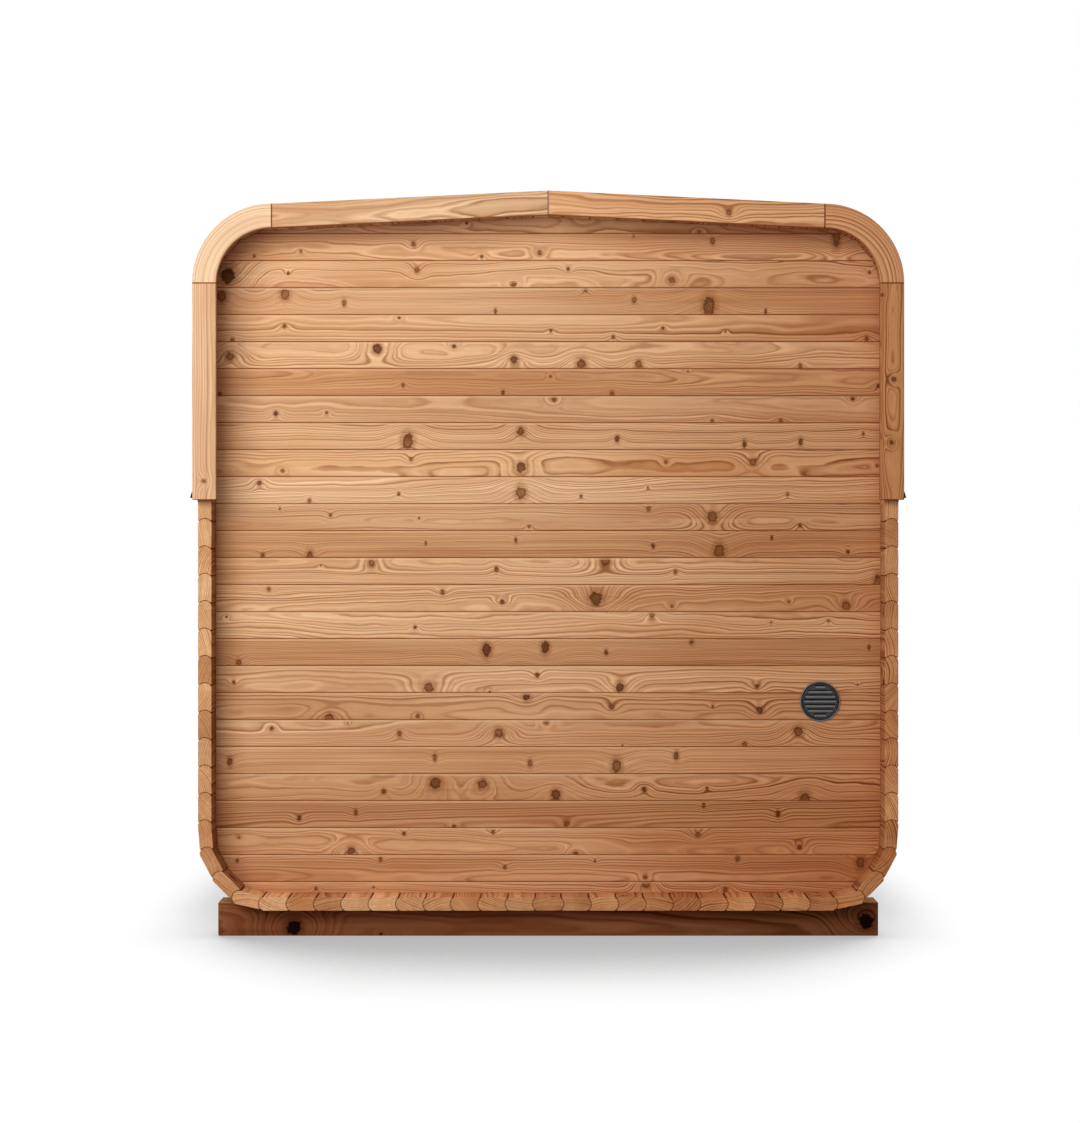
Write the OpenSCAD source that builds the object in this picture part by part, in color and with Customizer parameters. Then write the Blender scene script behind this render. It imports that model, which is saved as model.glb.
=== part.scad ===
/* [Shell] */
// Length of every stave, which is the length of the shell
stave_len = 1800; // [1500:10:2400]
// Thickness of a stave
stave_t = 39; // [36:1:41]
// Distance from one stave joint to the next
stave_pitch = 79; // [77:0.5:82]
// Radius of the bead along a stave's leading edge
bead_r = 21; // [20.8:0.1:22]
// Width of the middle floor stave between its two bead centres
middle_w = 49; // [44:1:70]
// Staves in the floor on each side of the middle one
floor_staves = 10; // [9:1:12]
// Upright staves in each side wall
wall_staves = 20; // [20:1:22]
// Rise of the roof towards its ridge, in degrees
roof_slope = 2.7; // [2:0.1:4]

/* [End walls] */
// Depth of each end wall behind the ends of the staves
wall_recess = 100; // [60:5:160]
// Thickness of an end wall's boards
wall_t = 39; // [28:1:45]
// Depth of the groove in the staves that holds an end wall
groove_depth = 8; // [4:0.5:10]
// Height above the ground of the lowest joint between wall boards
first_board_z = 151; // [145:1:165]

/* [Cradles] */
// Height of a cradle beam
cradle_h = 98; // [90:1:110]
// Width of a cradle beam along the shell
cradle_w = 100; // [70:1:140]
// Length of a cradle beam across the shell
cradle_len = 1920; // [1860:10:1980]
// Depth of the flat seat that the floor rests in
cradle_seat = 16; // [10:1:20]
// Distance from a stave's end to the nearest cradle
cradle_inset = 60; // [30:5:250]

/* [Trim] */
// Width of the trim's face
trim_w = 68; // [64:1:74]
// Thickness of the trim
trim_t = 28; // [18:1:35]
// Outer radius of the trim's round corner
trim_r = 228; // [222:1:236]
// How far the trim stands outside the side staves
trim_side_out = 13; // [10:0.5:16]
// How far the trim stands above the roof staves
trim_roof_out = 21; // [18:0.5:24]
// Height above the ground of the lower ends of the trim
trim_foot_z = 1267; // [1100:1:1400]

/* [Roof cover] */
// Thickness of the roof cover
cover_t = 5; // [3:0.5:6]
// Thickness of the drip edge's sheet metal
drip_t = 1.4; // [1:0.1:1.4]

/* [Vent] */
// Radius of the round vent hole through the rear wall
vent_r = 50; // [40:1:60]
// Width of the grille's rim outside the hole
vent_rim = 9; // [6:1:14]
// Distance from the inside of the right wall to the vent's centre
vent_from_side = 176; // [120:1:600]
// Height of the vent's centre above the ground
vent_z = 680; // [400:1:1500]

/* [Door] */
// Width of the doorway through the front wall
door_w = 720; // [640:10:800]
// Height of the doorway, in wall boards
door_boards = 23; // [21:1:23]
// Thickness of the jambs, head and sill
frame_t = 30; // [22:1:40]
// Thickness of the door leaf
leaf_t = 36; // [30:1:38]
// Gap around the door leaf
leaf_gap = 3; // [2:0.5:6]

/* [Hidden] */
$fn = 96;
joint_gap = 0.3;
// Direction of each corner stave's run, in degrees from level, going outwards and up on the right side
lower_corner = [13, 45, 62, 85.5];
upper_corner = [108, 130, 153];
// The least width left for the ripped stave beside the ridge
least_ridge_w = 35;

floor_z = cradle_h - cradle_seat;
floor_mid_z = floor_z + stave_t / 2;
wall_first = floor_staves + len(lower_corner);
upper_first = wall_first + wall_staves;
roof_first = upper_first + len(upper_corner);
shell_headings = concat(
    [for (i = [1:floor_staves]) 0],
    lower_corner,
    [for (i = [1:wall_staves]) 90],
    upper_corner
);

// Centre of the bead between stave k - 1 and stave k, as [x, z] on the right side
function joint(k) =
    k == 0 ? [middle_w / 2, floor_mid_z]
           : joint(k - 1) + stave_pitch * [cos(heading(k - 1)), sin(heading(k - 1))];
function heading(k) = k < roof_first ? shell_headings[k] : 180 - roof_slope;

corner_end = joint(roof_first);
roof_run = corner_end[0] / cos(roof_slope);
roof_full = floor((roof_run - least_ridge_w) / stave_pitch);
ridge_first = roof_first + roof_full;
side_mid_x = joint(wall_first)[0];
side_out_x = side_mid_x + stave_t / 2;
side_in_x = side_mid_x - stave_t / 2;

// Height of the roof staves' middle line at x
function roof_mid_z(x) = corner_end[1] + (corner_end[0] - x) * tan(roof_slope);

// Corner of the line that runs d inside the staves' middle line, at joint k; a negative d is outside
function corner_at(k, d) =
    let (turn = (heading(k) - heading(k - 1)) / 2, mean = heading(k - 1) + turn + 90)
    joint(k) + d / cos(turn) * [cos(mean), sin(mean)];
function ridge_at(x, d) = [x, roof_mid_z(x) - d / cos(roof_slope)];
function turning(first, last) = [for (k = [first:last]) if (abs(heading(k) - heading(k - 1)) > 0.01) k];
function mirrored(points) = [for (i = [len(points) - 1:-1:0]) [-points[i][0], points[i][1]]];

// The whole ring at distance d inside the staves' middle line
function ring(d) =
    let (half = [for (k = turning(1, roof_first)) corner_at(k, d)])
    concat(half, [ridge_at(0, d)], mirrored(half));

wall_y = stave_len / 2 - wall_recess - wall_t / 2;
wall_out_y = wall_y + wall_t / 2;
wall_in_y = wall_y - wall_t / 2;
slab_edge = stave_t / 2 - groove_depth + 0.5;

trim_x = side_out_x + trim_side_out;
trim_centre_x = trim_x - trim_r;
trim_centre_z = roof_mid_z(trim_centre_x) + stave_t / 2 + trim_roof_out - trim_r;
ridge_z = trim_centre_z + trim_r + trim_centre_x * tan(roof_slope);

cover_in = bead_r + joint_gap;
cover_out = cover_in + cover_t;
cover_foot_z = trim_foot_z + 30;
// Drip edge, measured out from the side staves and up from the trim's lower end
drip_lip_foot = [23, 6];
drip_lip_top = [18, 24];
drip_fold_z = 28;
drip_flange_z = 70;

vent_x = side_in_x - vent_from_side;
vent_flange_t = 4;
vent_screen_t = 1;
vent_bars = 7;
vent_bar_t = 2.2;
vent_bar_w = 13;
vent_bar_tilt = 40;

door_z0 = first_board_z;
door_z1 = first_board_z + door_boards * stave_pitch;
casing_w = 60;
casing_t = 12;
frame_in_y = wall_in_y - 6;
frame_out_y = wall_out_y + casing_t;
leaf_x = door_w / 2 - frame_t - leaf_gap;
leaf_z0 = door_z0 + frame_t + leaf_gap;
leaf_z1 = door_z1 - frame_t - leaf_gap;
leaf_out_y = frame_out_y;
handle_x = leaf_x - 70;
handle_z = 1080;
handle_len = 360;
handle_bar = [30, 26];
handle_reach = 62;
handle_foot_r = 11;
hinge_z = [leaf_z0 + 190, (leaf_z0 + leaf_z1) / 2, leaf_z1 - 190];
hinge_strap = [260, 34, 3];
hinge_plate_w = 48;
hinge_pin_r = 6;

// Turns an outline drawn as [x, z] into a solid that runs along Y from y0 to y1
module along_y(y0, y1)
    translate([0, y1, 0]) rotate([90, 0, 0]) linear_extrude(height = y1 - y0) children();

module box(low, high) translate(low) cube(high - low);

// Staves

module stave_outline(w)
    difference() {
        union() {
            translate([0, -stave_t / 2]) square([w, stave_t]);
            intersection() {
                translate([w, 0]) circle(r = bead_r);
                translate([w, -stave_t / 2]) square([bead_r + 1, stave_t]);
            }
        }
        circle(r = bead_r + joint_gap);
    }

module wall_grooves(k)
    for (end = [-1, 1])
        translate([joint(k)[0], end * wall_y, joint(k)[1]])
            rotate([0, -heading(k), 0])
                translate([-bead_r - 5, -wall_t / 2 - joint_gap, stave_t / 2 - groove_depth])
                    cube([stave_pitch + 2 * bead_r + 10, wall_t + 2 * joint_gap, groove_depth + 5]);

module stave(k)
    difference() {
        along_y(-stave_len / 2, stave_len / 2)
            translate(joint(k)) rotate(heading(k)) stave_outline(stave_pitch);
        wall_grooves(k);
    }

module stave_run(first, past) for (k = [first:past - 1]) stave(k);

module middle_stave()
    difference() {
        along_y(-stave_len / 2, stave_len / 2)
            translate([0, floor_mid_z]) {
                square([middle_w, stave_t], center = true);
                for (side = [0, 1]) mirror([side, 0])
                    intersection() {
                        translate([middle_w / 2, 0]) circle(r = bead_r);
                        translate([middle_w / 2, -stave_t / 2]) square([bead_r + 1, stave_t]);
                    }
            }
        for (end = [-1, 1])
            translate([-stave_pitch, end * wall_y - wall_t / 2 - joint_gap, floor_mid_z + stave_t / 2 - groove_depth])
                cube([2 * stave_pitch, wall_t + 2 * joint_gap, groove_depth + 5]);
    }

// The ripped stave beside the ridge, cut upright where the two sides of the roof meet
module ridge_stave()
    difference() {
        along_y(-stave_len / 2, stave_len / 2)
            translate(joint(ridge_first)) rotate(heading(ridge_first)) stave_outline(stave_pitch);
        wall_grooves(ridge_first);
        box([-3 * stave_pitch, -stave_len, floor_z], [joint_gap / 2, stave_len, ridge_z + stave_pitch]);
    }

module floor_side() stave_run(0, floor_staves);
module lower_corner_side() stave_run(floor_staves, wall_first);
module wall_side() stave_run(wall_first, upper_first);
module upper_corner_side() stave_run(upper_first, roof_first);
module roof_side() {
    stave_run(roof_first, ridge_first);
    ridge_stave();
}

module centre_floor_stave() color("burlywood") middle_stave();
module right_floor_staves() color("tan") floor_side();
module left_floor_staves() color("tan") mirror([1, 0, 0]) floor_side();
module right_lower_corner_staves() color("peru") lower_corner_side();
module left_lower_corner_staves() color("peru") mirror([1, 0, 0]) lower_corner_side();
module right_wall_staves() color("burlywood") wall_side();
module left_wall_staves() color("burlywood") mirror([1, 0, 0]) wall_side();
module right_upper_corner_staves() color("peru") upper_corner_side();
module left_upper_corner_staves() color("peru") mirror([1, 0, 0]) upper_corner_side();
module right_roof_staves() color("tan") roof_side();
module left_roof_staves() color("tan") mirror([1, 0, 0]) roof_side();

// Cradles

module cradle(y0)
    difference() {
        box([-cradle_len / 2, y0, 0], [cradle_len / 2, y0 + cradle_w, cradle_h]);
        along_y(y0 - 1, y0 + cradle_w + 1) polygon(ring(-stave_t / 2));
        for (side = [-1, 1])
            translate([side * joint(floor_staves)[0], y0 - 1, floor_mid_z])
                rotate([-90, 0, 0]) cylinder(h = cradle_w + 2, r = bead_r + joint_gap);
    }

module rear_cradle() color("saddlebrown") cradle(-stave_len / 2 + cradle_inset);
module front_cradle() color("saddlebrown") cradle(stave_len / 2 - cradle_inset - cradle_w);

// End walls

module rear_wall() color("burlywood")
    difference() {
        along_y(-wall_out_y, -wall_in_y) polygon(ring(slab_edge));
        translate([vent_x, -wall_out_y - 1, vent_z]) rotate([-90, 0, 0]) cylinder(h = wall_t + 2, r = vent_r);
    }

// The part of the front wall inside the box from low to high, both given as [x, z]
module front_wall_part(low, high)
    intersection() {
        along_y(wall_in_y, wall_out_y) polygon(ring(slab_edge));
        box([low[0], wall_in_y - 1, low[1]], [high[0], wall_out_y + 1, high[1]]);
    }

module front_wall_below_door() color("burlywood")
    front_wall_part([-side_out_x, 0], [side_out_x, door_z0]);
module front_wall_left() color("burlywood")
    front_wall_part([-side_out_x, door_z0 + joint_gap], [-door_w / 2, door_z1 - joint_gap]);
module front_wall_right() color("burlywood")
    front_wall_part([door_w / 2, door_z0 + joint_gap], [side_out_x, door_z1 - joint_gap]);
module front_wall_above_door() color("burlywood")
    front_wall_part([-side_out_x, door_z1], [side_out_x, ridge_z]);

// Vent

module vent_grille() color("dimgray")
    translate([vent_x, -wall_out_y, vent_z]) rotate([90, 0, 0]) {
        difference() {
            cylinder(h = vent_flange_t, r = vent_r + vent_rim);
            translate([0, 0, -1]) cylinder(h = vent_flange_t + 2, r = vent_r - 3);
        }
        difference() {
            cylinder(h = vent_bar_w, r = vent_r + vent_rim - 4);
            translate([0, 0, -1]) cylinder(h = vent_bar_w + 2, r = vent_r - 2);
        }
        cylinder(h = vent_screen_t, r = vent_r);
        intersection() {
            cylinder(h = vent_bar_w, r = vent_r);
            for (i = [0:vent_bars - 1])
                translate([0, (i - (vent_bars - 1) / 2) * 2 * vent_r / vent_bars, vent_bar_w / 2])
                    rotate([vent_bar_tilt, 0, 0])
                        cube([2 * vent_r + 2, vent_bar_t, 2 * vent_bar_w], center = true);
        }
    }

// Door

module door_jamb()
    translate([door_w / 2 - frame_t, 0, 0]) {
        box([0, frame_in_y, door_z0], [frame_t, frame_out_y, door_z1]);
        box([frame_t, wall_out_y, door_z0 - casing_w + frame_t], [casing_w, frame_out_y, door_z1 + casing_w - frame_t]);
    }

module right_door_jamb() color("peru") door_jamb();
module left_door_jamb() color("peru") mirror([1, 0, 0]) door_jamb();

module door_head() color("peru") {
    x = door_w / 2 - frame_t - joint_gap;
    box([-x, frame_in_y, door_z1 - frame_t], [x, frame_out_y, door_z1]);
    box([-x - frame_t, wall_out_y, door_z1 + joint_gap], [x + frame_t, frame_out_y, door_z1 + casing_w - frame_t]);
}

module door_sill() color("peru") {
    x = door_w / 2 - frame_t - joint_gap;
    box([-x, frame_in_y, door_z0], [x, frame_out_y + 8, door_z0 + frame_t]);
}

module door_leaf() color("burlywood")
    box([-leaf_x, leaf_out_y - leaf_t, leaf_z0], [leaf_x, leaf_out_y, leaf_z1]);

module door_handle() color("sienna")
    translate([handle_x, leaf_out_y, handle_z]) {
        box([-handle_bar[0] / 2, handle_reach - handle_bar[1], -handle_len / 2],
            [handle_bar[0] / 2, handle_reach, handle_len / 2]);
        for (end = [-1, 1])
            translate([0, 0, end * (handle_len / 2 - 45)]) rotate([-90, 0, 0])
                cylinder(h = handle_reach - handle_bar[1] / 2, r = handle_foot_r);
    }

module door_hinges() color("dimgray")
    for (z = hinge_z) translate([-leaf_x - leaf_gap / 2, leaf_out_y, z - hinge_strap[1] / 2]) {
        translate([0, hinge_pin_r + 0.5, 0]) cylinder(h = hinge_strap[1], r = hinge_pin_r);
        box([-hinge_plate_w, 0, 0], [hinge_strap[0], hinge_strap[2], hinge_strap[1]]);
    }

// Trim on the ends of the staves, all drawn for the rear right and mirrored from there

module post_trim()
    box([trim_x - trim_w, -stave_len / 2 - trim_t, trim_foot_z],
        [trim_x, -stave_len / 2, trim_centre_z - joint_gap]);

module corner_trim()
    translate([trim_centre_x, -stave_len / 2, trim_centre_z])
        rotate([90, 0, 0]) rotate_extrude(angle = 90)
            translate([trim_r - trim_w, 0]) square([trim_w, trim_t]);

module top_trim()
    along_y(-stave_len / 2 - trim_t, -stave_len / 2)
        polygon([
            [joint_gap / 2, ridge_z],
            [joint_gap / 2, ridge_z - trim_w / cos(roof_slope)],
            [trim_centre_x - joint_gap, trim_centre_z + trim_r - trim_w / cos(roof_slope)],
            [trim_centre_x - joint_gap, trim_centre_z + trim_r],
        ]);

module at_left() mirror([1, 0, 0]) children();
module at_front() mirror([0, 1, 0]) children();

module rear_right_post_trim() color("burlywood") post_trim();
module rear_left_post_trim() color("burlywood") at_left() post_trim();
module rear_right_corner_trim() color("tan") corner_trim();
module rear_left_corner_trim() color("tan") at_left() corner_trim();
module rear_right_top_trim() color("burlywood") top_trim();
module rear_left_top_trim() color("burlywood") at_left() top_trim();
module front_right_post_trim() color("burlywood") at_front() post_trim();
module front_left_post_trim() color("burlywood") at_front() at_left() post_trim();
module front_right_corner_trim() color("tan") at_front() corner_trim();
module front_left_corner_trim() color("tan") at_front() at_left() corner_trim();
module front_right_top_trim() color("burlywood") at_front() top_trim();
module front_left_top_trim() color("burlywood") at_front() at_left() top_trim();

// Roof cover and drip edges, drawn for the right side

module cover_side() {
    bends = turning(upper_first, roof_first);
    along_y(-stave_len / 2, stave_len / 2)
        polygon(concat(
            [[side_mid_x + cover_in, cover_foot_z], [side_mid_x + cover_out, cover_foot_z]],
            [for (k = bends) corner_at(k, -cover_out)],
            [ridge_at(joint_gap / 2, -cover_out), ridge_at(joint_gap / 2, -cover_in)],
            [for (i = [len(bends) - 1:-1:0]) corner_at(bends[i], -cover_in)]
        ));
}

module drip_side()
    along_y(-stave_len / 2, stave_len / 2)
        translate([side_out_x, trim_foot_z])
            polygon([
                [0, drip_fold_z - drip_t],
                [drip_lip_top[0] - drip_t, drip_lip_top[1] - drip_t],
                drip_lip_foot - [drip_t, 0],
                drip_lip_foot,
                drip_lip_top,
                [drip_t, drip_fold_z],
                [drip_t, drip_flange_z],
                [0, drip_flange_z],
            ]);

module right_roof_cover() color("dimgray") cover_side();
module left_roof_cover() color("dimgray") mirror([1, 0, 0]) cover_side();
module right_drip_edge() color("black") drip_side();
module left_drip_edge() color("black") mirror([1, 0, 0]) drip_side();

rear_cradle();
front_cradle();
centre_floor_stave();
left_floor_staves();
right_floor_staves();
left_lower_corner_staves();
right_lower_corner_staves();
left_wall_staves();
right_wall_staves();
left_upper_corner_staves();
right_upper_corner_staves();
left_roof_staves();
right_roof_staves();
rear_wall();
vent_grille();
front_wall_below_door();
front_wall_left();
front_wall_right();
front_wall_above_door();
door_sill();
left_door_jamb();
right_door_jamb();
door_head();
door_leaf();
door_handle();
door_hinges();
rear_left_post_trim();
rear_right_post_trim();
rear_left_corner_trim();
rear_right_corner_trim();
rear_left_top_trim();
rear_right_top_trim();
front_left_post_trim();
front_right_post_trim();
front_left_corner_trim();
front_right_corner_trim();
front_left_top_trim();
front_right_top_trim();
left_roof_cover();
right_roof_cover();
left_drip_edge();
right_drip_edge();
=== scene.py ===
import math
import random
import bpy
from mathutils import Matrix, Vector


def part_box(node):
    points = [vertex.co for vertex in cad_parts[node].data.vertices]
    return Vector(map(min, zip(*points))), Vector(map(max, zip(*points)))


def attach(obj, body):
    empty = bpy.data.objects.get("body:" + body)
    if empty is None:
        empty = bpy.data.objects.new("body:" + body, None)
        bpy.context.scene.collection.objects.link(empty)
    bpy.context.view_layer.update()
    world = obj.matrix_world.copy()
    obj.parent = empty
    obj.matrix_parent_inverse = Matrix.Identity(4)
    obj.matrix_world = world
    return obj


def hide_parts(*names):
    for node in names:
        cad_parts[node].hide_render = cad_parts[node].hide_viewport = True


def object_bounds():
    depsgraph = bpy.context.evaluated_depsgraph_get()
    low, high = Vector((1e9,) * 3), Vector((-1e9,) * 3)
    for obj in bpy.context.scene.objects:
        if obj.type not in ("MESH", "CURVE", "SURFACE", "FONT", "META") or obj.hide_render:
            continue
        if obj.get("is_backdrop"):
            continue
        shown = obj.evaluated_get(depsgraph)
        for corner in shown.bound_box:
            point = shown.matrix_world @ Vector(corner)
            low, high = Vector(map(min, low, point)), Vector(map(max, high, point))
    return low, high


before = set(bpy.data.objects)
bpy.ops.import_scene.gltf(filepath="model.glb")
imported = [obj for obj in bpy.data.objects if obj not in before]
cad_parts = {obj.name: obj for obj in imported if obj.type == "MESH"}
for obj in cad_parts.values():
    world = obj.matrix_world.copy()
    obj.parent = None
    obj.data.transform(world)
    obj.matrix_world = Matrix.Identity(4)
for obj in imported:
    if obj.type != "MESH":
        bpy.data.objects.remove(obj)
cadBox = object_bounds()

from types import SimpleNamespace

import bmesh
import bpy
import numpy as np
from mathutils import Vector

print("frame loaded,", len(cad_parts), "nodes")

# The ring of staves, seen from the rear and drawn for the right side; headings are degrees from level
shell = {
    "pitch": 0.079,
    "thick": 0.039,
    "beadRadius": 0.021,
    "gap": 0.0003,
    "middleWidth": 0.049,
    "floorStaves": 10,
    "lowerCorner": (13, 45, 62, 85.5),
    "wallStaves": 20,
    "upperCorner": (108, 130, 153),
    "roofSlope": 2.7,
    "leastRidge": 0.035,
    "grooveDepth": 0.008,
    "wallInset": 0.012,     # end boards stop this far inside the staves' middle line
}

half = shell["thick"] / 2
staveLow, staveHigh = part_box("centre_floor_stave")
floorMid = staveLow.z + half
endY = staveHigh.y
wallLow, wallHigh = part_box("rear_wall")
wallOutY = -wallLow.y
wallInY = -wallHigh.y
slope = math.tan(math.radians(shell["roofSlope"]))


def turn(degrees):
    return np.array([math.cos(math.radians(degrees)), math.sin(math.radians(degrees))])


# Centres of the beads, from the floor's middle up to the start of the roof
headings = [0] * shell["floorStaves"] + list(shell["lowerCorner"])
headings += [90] * shell["wallStaves"] + list(shell["upperCorner"])
joints = [np.array([shell["middleWidth"] / 2, floorMid])]
for heading in headings:
    joints.append(joints[-1] + shell["pitch"] * turn(heading))
roofFirst = len(headings)
roofEnd = joints[-1]
roofRun = roofEnd[0] / math.cos(math.radians(shell["roofSlope"]))
roofFull = int((roofRun - shell["leastRidge"]) / shell["pitch"])
for step in range(roofFull + 1):
    headings.append(180 - shell["roofSlope"])
    joints.append(joints[-1] + shell["pitch"] * turn(headings[-1]))


# Corner of the line that runs d inside the middle line of the staves, at joint k
def cornerAt(k, d):
    bend = (headings[k] - headings[k - 1]) / 2
    return joints[k] + d / math.cos(math.radians(bend)) * turn(headings[k - 1] + bend + 90)


def roofMid(x):
    return roofEnd[1] + (roofEnd[0] - x) * slope


bends = [k for k in range(1, roofFirst + 1) if abs(headings[k] - headings[k - 1]) > 0.01]


def ringLine(d):
    ridge = np.array([0, roofMid(0) - d * math.sqrt(1 + slope * slope)])
    return [cornerAt(k, d) for k in bends] + [ridge]


# Mesh building: every solid goes into a pile of points, faces and the wood it was cut from
def startPile():
    return {"points": [], "faces": [], "grain": [], "seed": [], "tone": [], "crease": [], "knots": []}


knotNames = ["knotA", "knotB", "knotC", "knotD", "knotE", "knotF", "knotG", "knotH"]
plain = {"frame": ((1, 0, 0), (0, 1, 0), (0, 0, 1)), "origin": (0, 0, 0), "lean": (0, 0), "pith": (0, 0.1),
         "seed": (0, 0, 0), "tone": (1, 0.005, 1), "knots": []}


def addSolid(pile, points, faces, wood=None, crease=None):
    wood = wood or plain
    points = np.asarray(points, float)
    volume = 0
    for face in faces:
        for i in range(1, len(face) - 1):
            a, b, c = points[face[0]], points[face[i]], points[face[i + 1]]
            volume += (a[0] * (b[1] * c[2] - b[2] * c[1]) - a[1] * (b[0] * c[2] - b[2] * c[0])
                       + a[2] * (b[0] * c[1] - b[1] * c[0]))
    start = len(pile["points"])
    for face in faces:
        ordered = face if volume > 0 else face[::-1]
        pile["faces"].append([start + i for i in ordered])
    pile["points"].extend(points.tolist())
    count = len(points)
    pile["grain"].append(grainOf(points, wood))
    pile["seed"].append(np.tile(wood["seed"], (count, 1)))
    pile["tone"].append(np.tile(wood["tone"], (count, 1)))
    pile["crease"].append(np.zeros(count) if crease is None else np.asarray(crease, float))
    knots = list(wood["knots"])[:len(knotNames)]
    # names left over go to branches far outside the board
    knots += [(900 + 7 * i, 0, 0.001) for i in range(len(knotNames) - len(knots))]
    pile["knots"].append(np.tile(np.array(knots).reshape(1, -1), (count, 1)))


# Where each point lies in the log: along the pith, and across from it both ways
def grainOf(points, wood):
    if "bend" in wood:
        centreX, centreZ, radius, side = wood["bend"]
        x, z = np.abs(points[:, 0] - centreX), points[:, 2] - centreZ
        depth = side * (points[:, 1] - wood["origin"][1])
        local = np.stack([np.arctan2(z, x) * radius, np.hypot(x, z) - radius, depth], axis=1)
    else:
        local = (points - np.array(wood["origin"])) @ np.array(wood["frame"], float).T
    local[:, 1] += wood["pith"][0] + wood["lean"][0] * local[:, 0]
    local[:, 2] += wood["pith"][1] + wood["lean"][1] * local[:, 0]
    return local


# Skins a row of rings that have the same number of points, and closes both ends
def addRings(pile, rings, wood=None, creases=None, closed=False):
    size = len(rings[0])
    points = [p for ring in rings for p in ring]
    faces = []
    last = len(rings) if closed else len(rings) - 1
    for r in range(last):
        a, b = r * size, ((r + 1) % len(rings)) * size
        for i in range(size):
            j = (i + 1) % size
            faces.append([a + i, a + j, b + j, b + i])
    if not closed:
        faces.append(list(range(size))[::-1])
        faces.append([(len(rings) - 1) * size + i for i in range(size)])
    flat = None if creases is None else [c for ring in creases for c in ring]
    addSolid(pile, points, faces, wood, flat)


# Rounds the corners of a flat outline; each corner is (x, y, radius)
def rounded(corners):
    out = []
    count, steps = len(corners), 3
    for i, (x, y, radius) in enumerate(corners):
        here = np.array([x, y], float)
        if radius <= 0:
            out.append(here)
            continue
        before = np.array(corners[i - 1][:2], float) - here
        after = np.array(corners[(i + 1) % count][:2], float) - here
        before /= np.linalg.norm(before)
        after /= np.linalg.norm(after)
        angle = math.acos(max(-1, min(1, float(before @ after))))
        reach = radius / math.tan(angle / 2)
        middle = before + after
        centre = here + middle / np.linalg.norm(middle) * radius / math.sin(angle / 2)
        start, end = here + before * reach - centre, here + after * reach - centre
        a0 = math.atan2(start[1], start[0])
        sweep = math.atan2(end[1], end[0]) - a0
        sweep = (sweep + math.pi) % (2 * math.pi) - math.pi
        for s in range(steps + 1):
            a = a0 + sweep * s / steps
            out.append(centre + radius * np.array([math.cos(a), math.sin(a)]))
    return out


# Moves a closed outline inwards by d; the outline runs anticlockwise
def shrunk(outline, d):
    count = len(outline)
    out = []
    for i in range(count):
        a = outline[i] - outline[i - 1]
        b = outline[(i + 1) % count] - outline[i]
        a = np.array([-a[1], a[0]]) / max(np.linalg.norm(a), 1e-9)
        b = np.array([-b[1], b[0]]) / max(np.linalg.norm(b), 1e-9)
        out.append(outline[i] + d * (a + b) / max(1 + float(a @ b), 0.4))
    return out


def anticlockwise(outline):
    area = sum(outline[i - 1][0] * p[1] - p[0] * outline[i - 1][1] for i, p in enumerate(outline))
    return list(outline) if area > 0 else list(outline)[::-1]


def circle(steps, radius=1.0, x=0.0, y=0.0):
    turns = [2 * math.pi * i / steps for i in range(steps)]
    return [np.array([x + radius * math.cos(a), y + radius * math.sin(a)]) for a in turns]


# Extrudes an outline between two ends with bevelled rims; place turns (a, b, run) into a point
def addExtrusion(pile, outline, low, high, bevel, place, wood=None, rimSteps=2):
    outline = anticlockwise(outline)
    rim = []
    for s in range(rimSteps + 1):
        a = math.pi / 2 * s / rimSteps
        inset, run = bevel * (1 - math.sin(a)), bevel * (1 - math.cos(a))
        rim.append((shrunk(outline, inset) if inset > 1e-9 else outline, run))
    rings = [[place(*point, low + run) for point in ring] for ring, run in rim]
    rings += [[place(*point, high - run) for point in ring] for ring, run in rim[::-1]]
    addRings(pile, rings, wood)


def block(x0, x1, y0, y1, radius):
    return rounded([(x0, y0, radius), (x1, y0, radius), (x1, y1, radius), (x0, y1, radius)])


def alongX(a, b, run):
    return (run, a, b)


def alongY(a, b, run):
    return (a, run, b)


def alongZ(a, b, run):
    return (a, b, run)


# A low round head, as on a screw, facing along a level axis
def addDome(pile, centre, axis, radius, height):
    axis = np.array(axis, float)
    a = np.cross(axis, (0, 0, 1.0))
    b = np.cross(axis, a)
    rings = []
    for share, rise in ((1.0, -0.1), (1.0, 0.15), (0.86, 0.6), (0.58, 0.9), (0.2, 1.0)):
        top = np.array(centre) + axis * height * rise
        rings.append([tuple(top + radius * share * (a * x + b * y)) for x, y in circle(16)])
    addRings(pile, rings)


def addObject(name, data):
    item = bpy.data.objects.new(name, data)
    bpy.context.scene.collection.objects.link(item)
    return item


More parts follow.
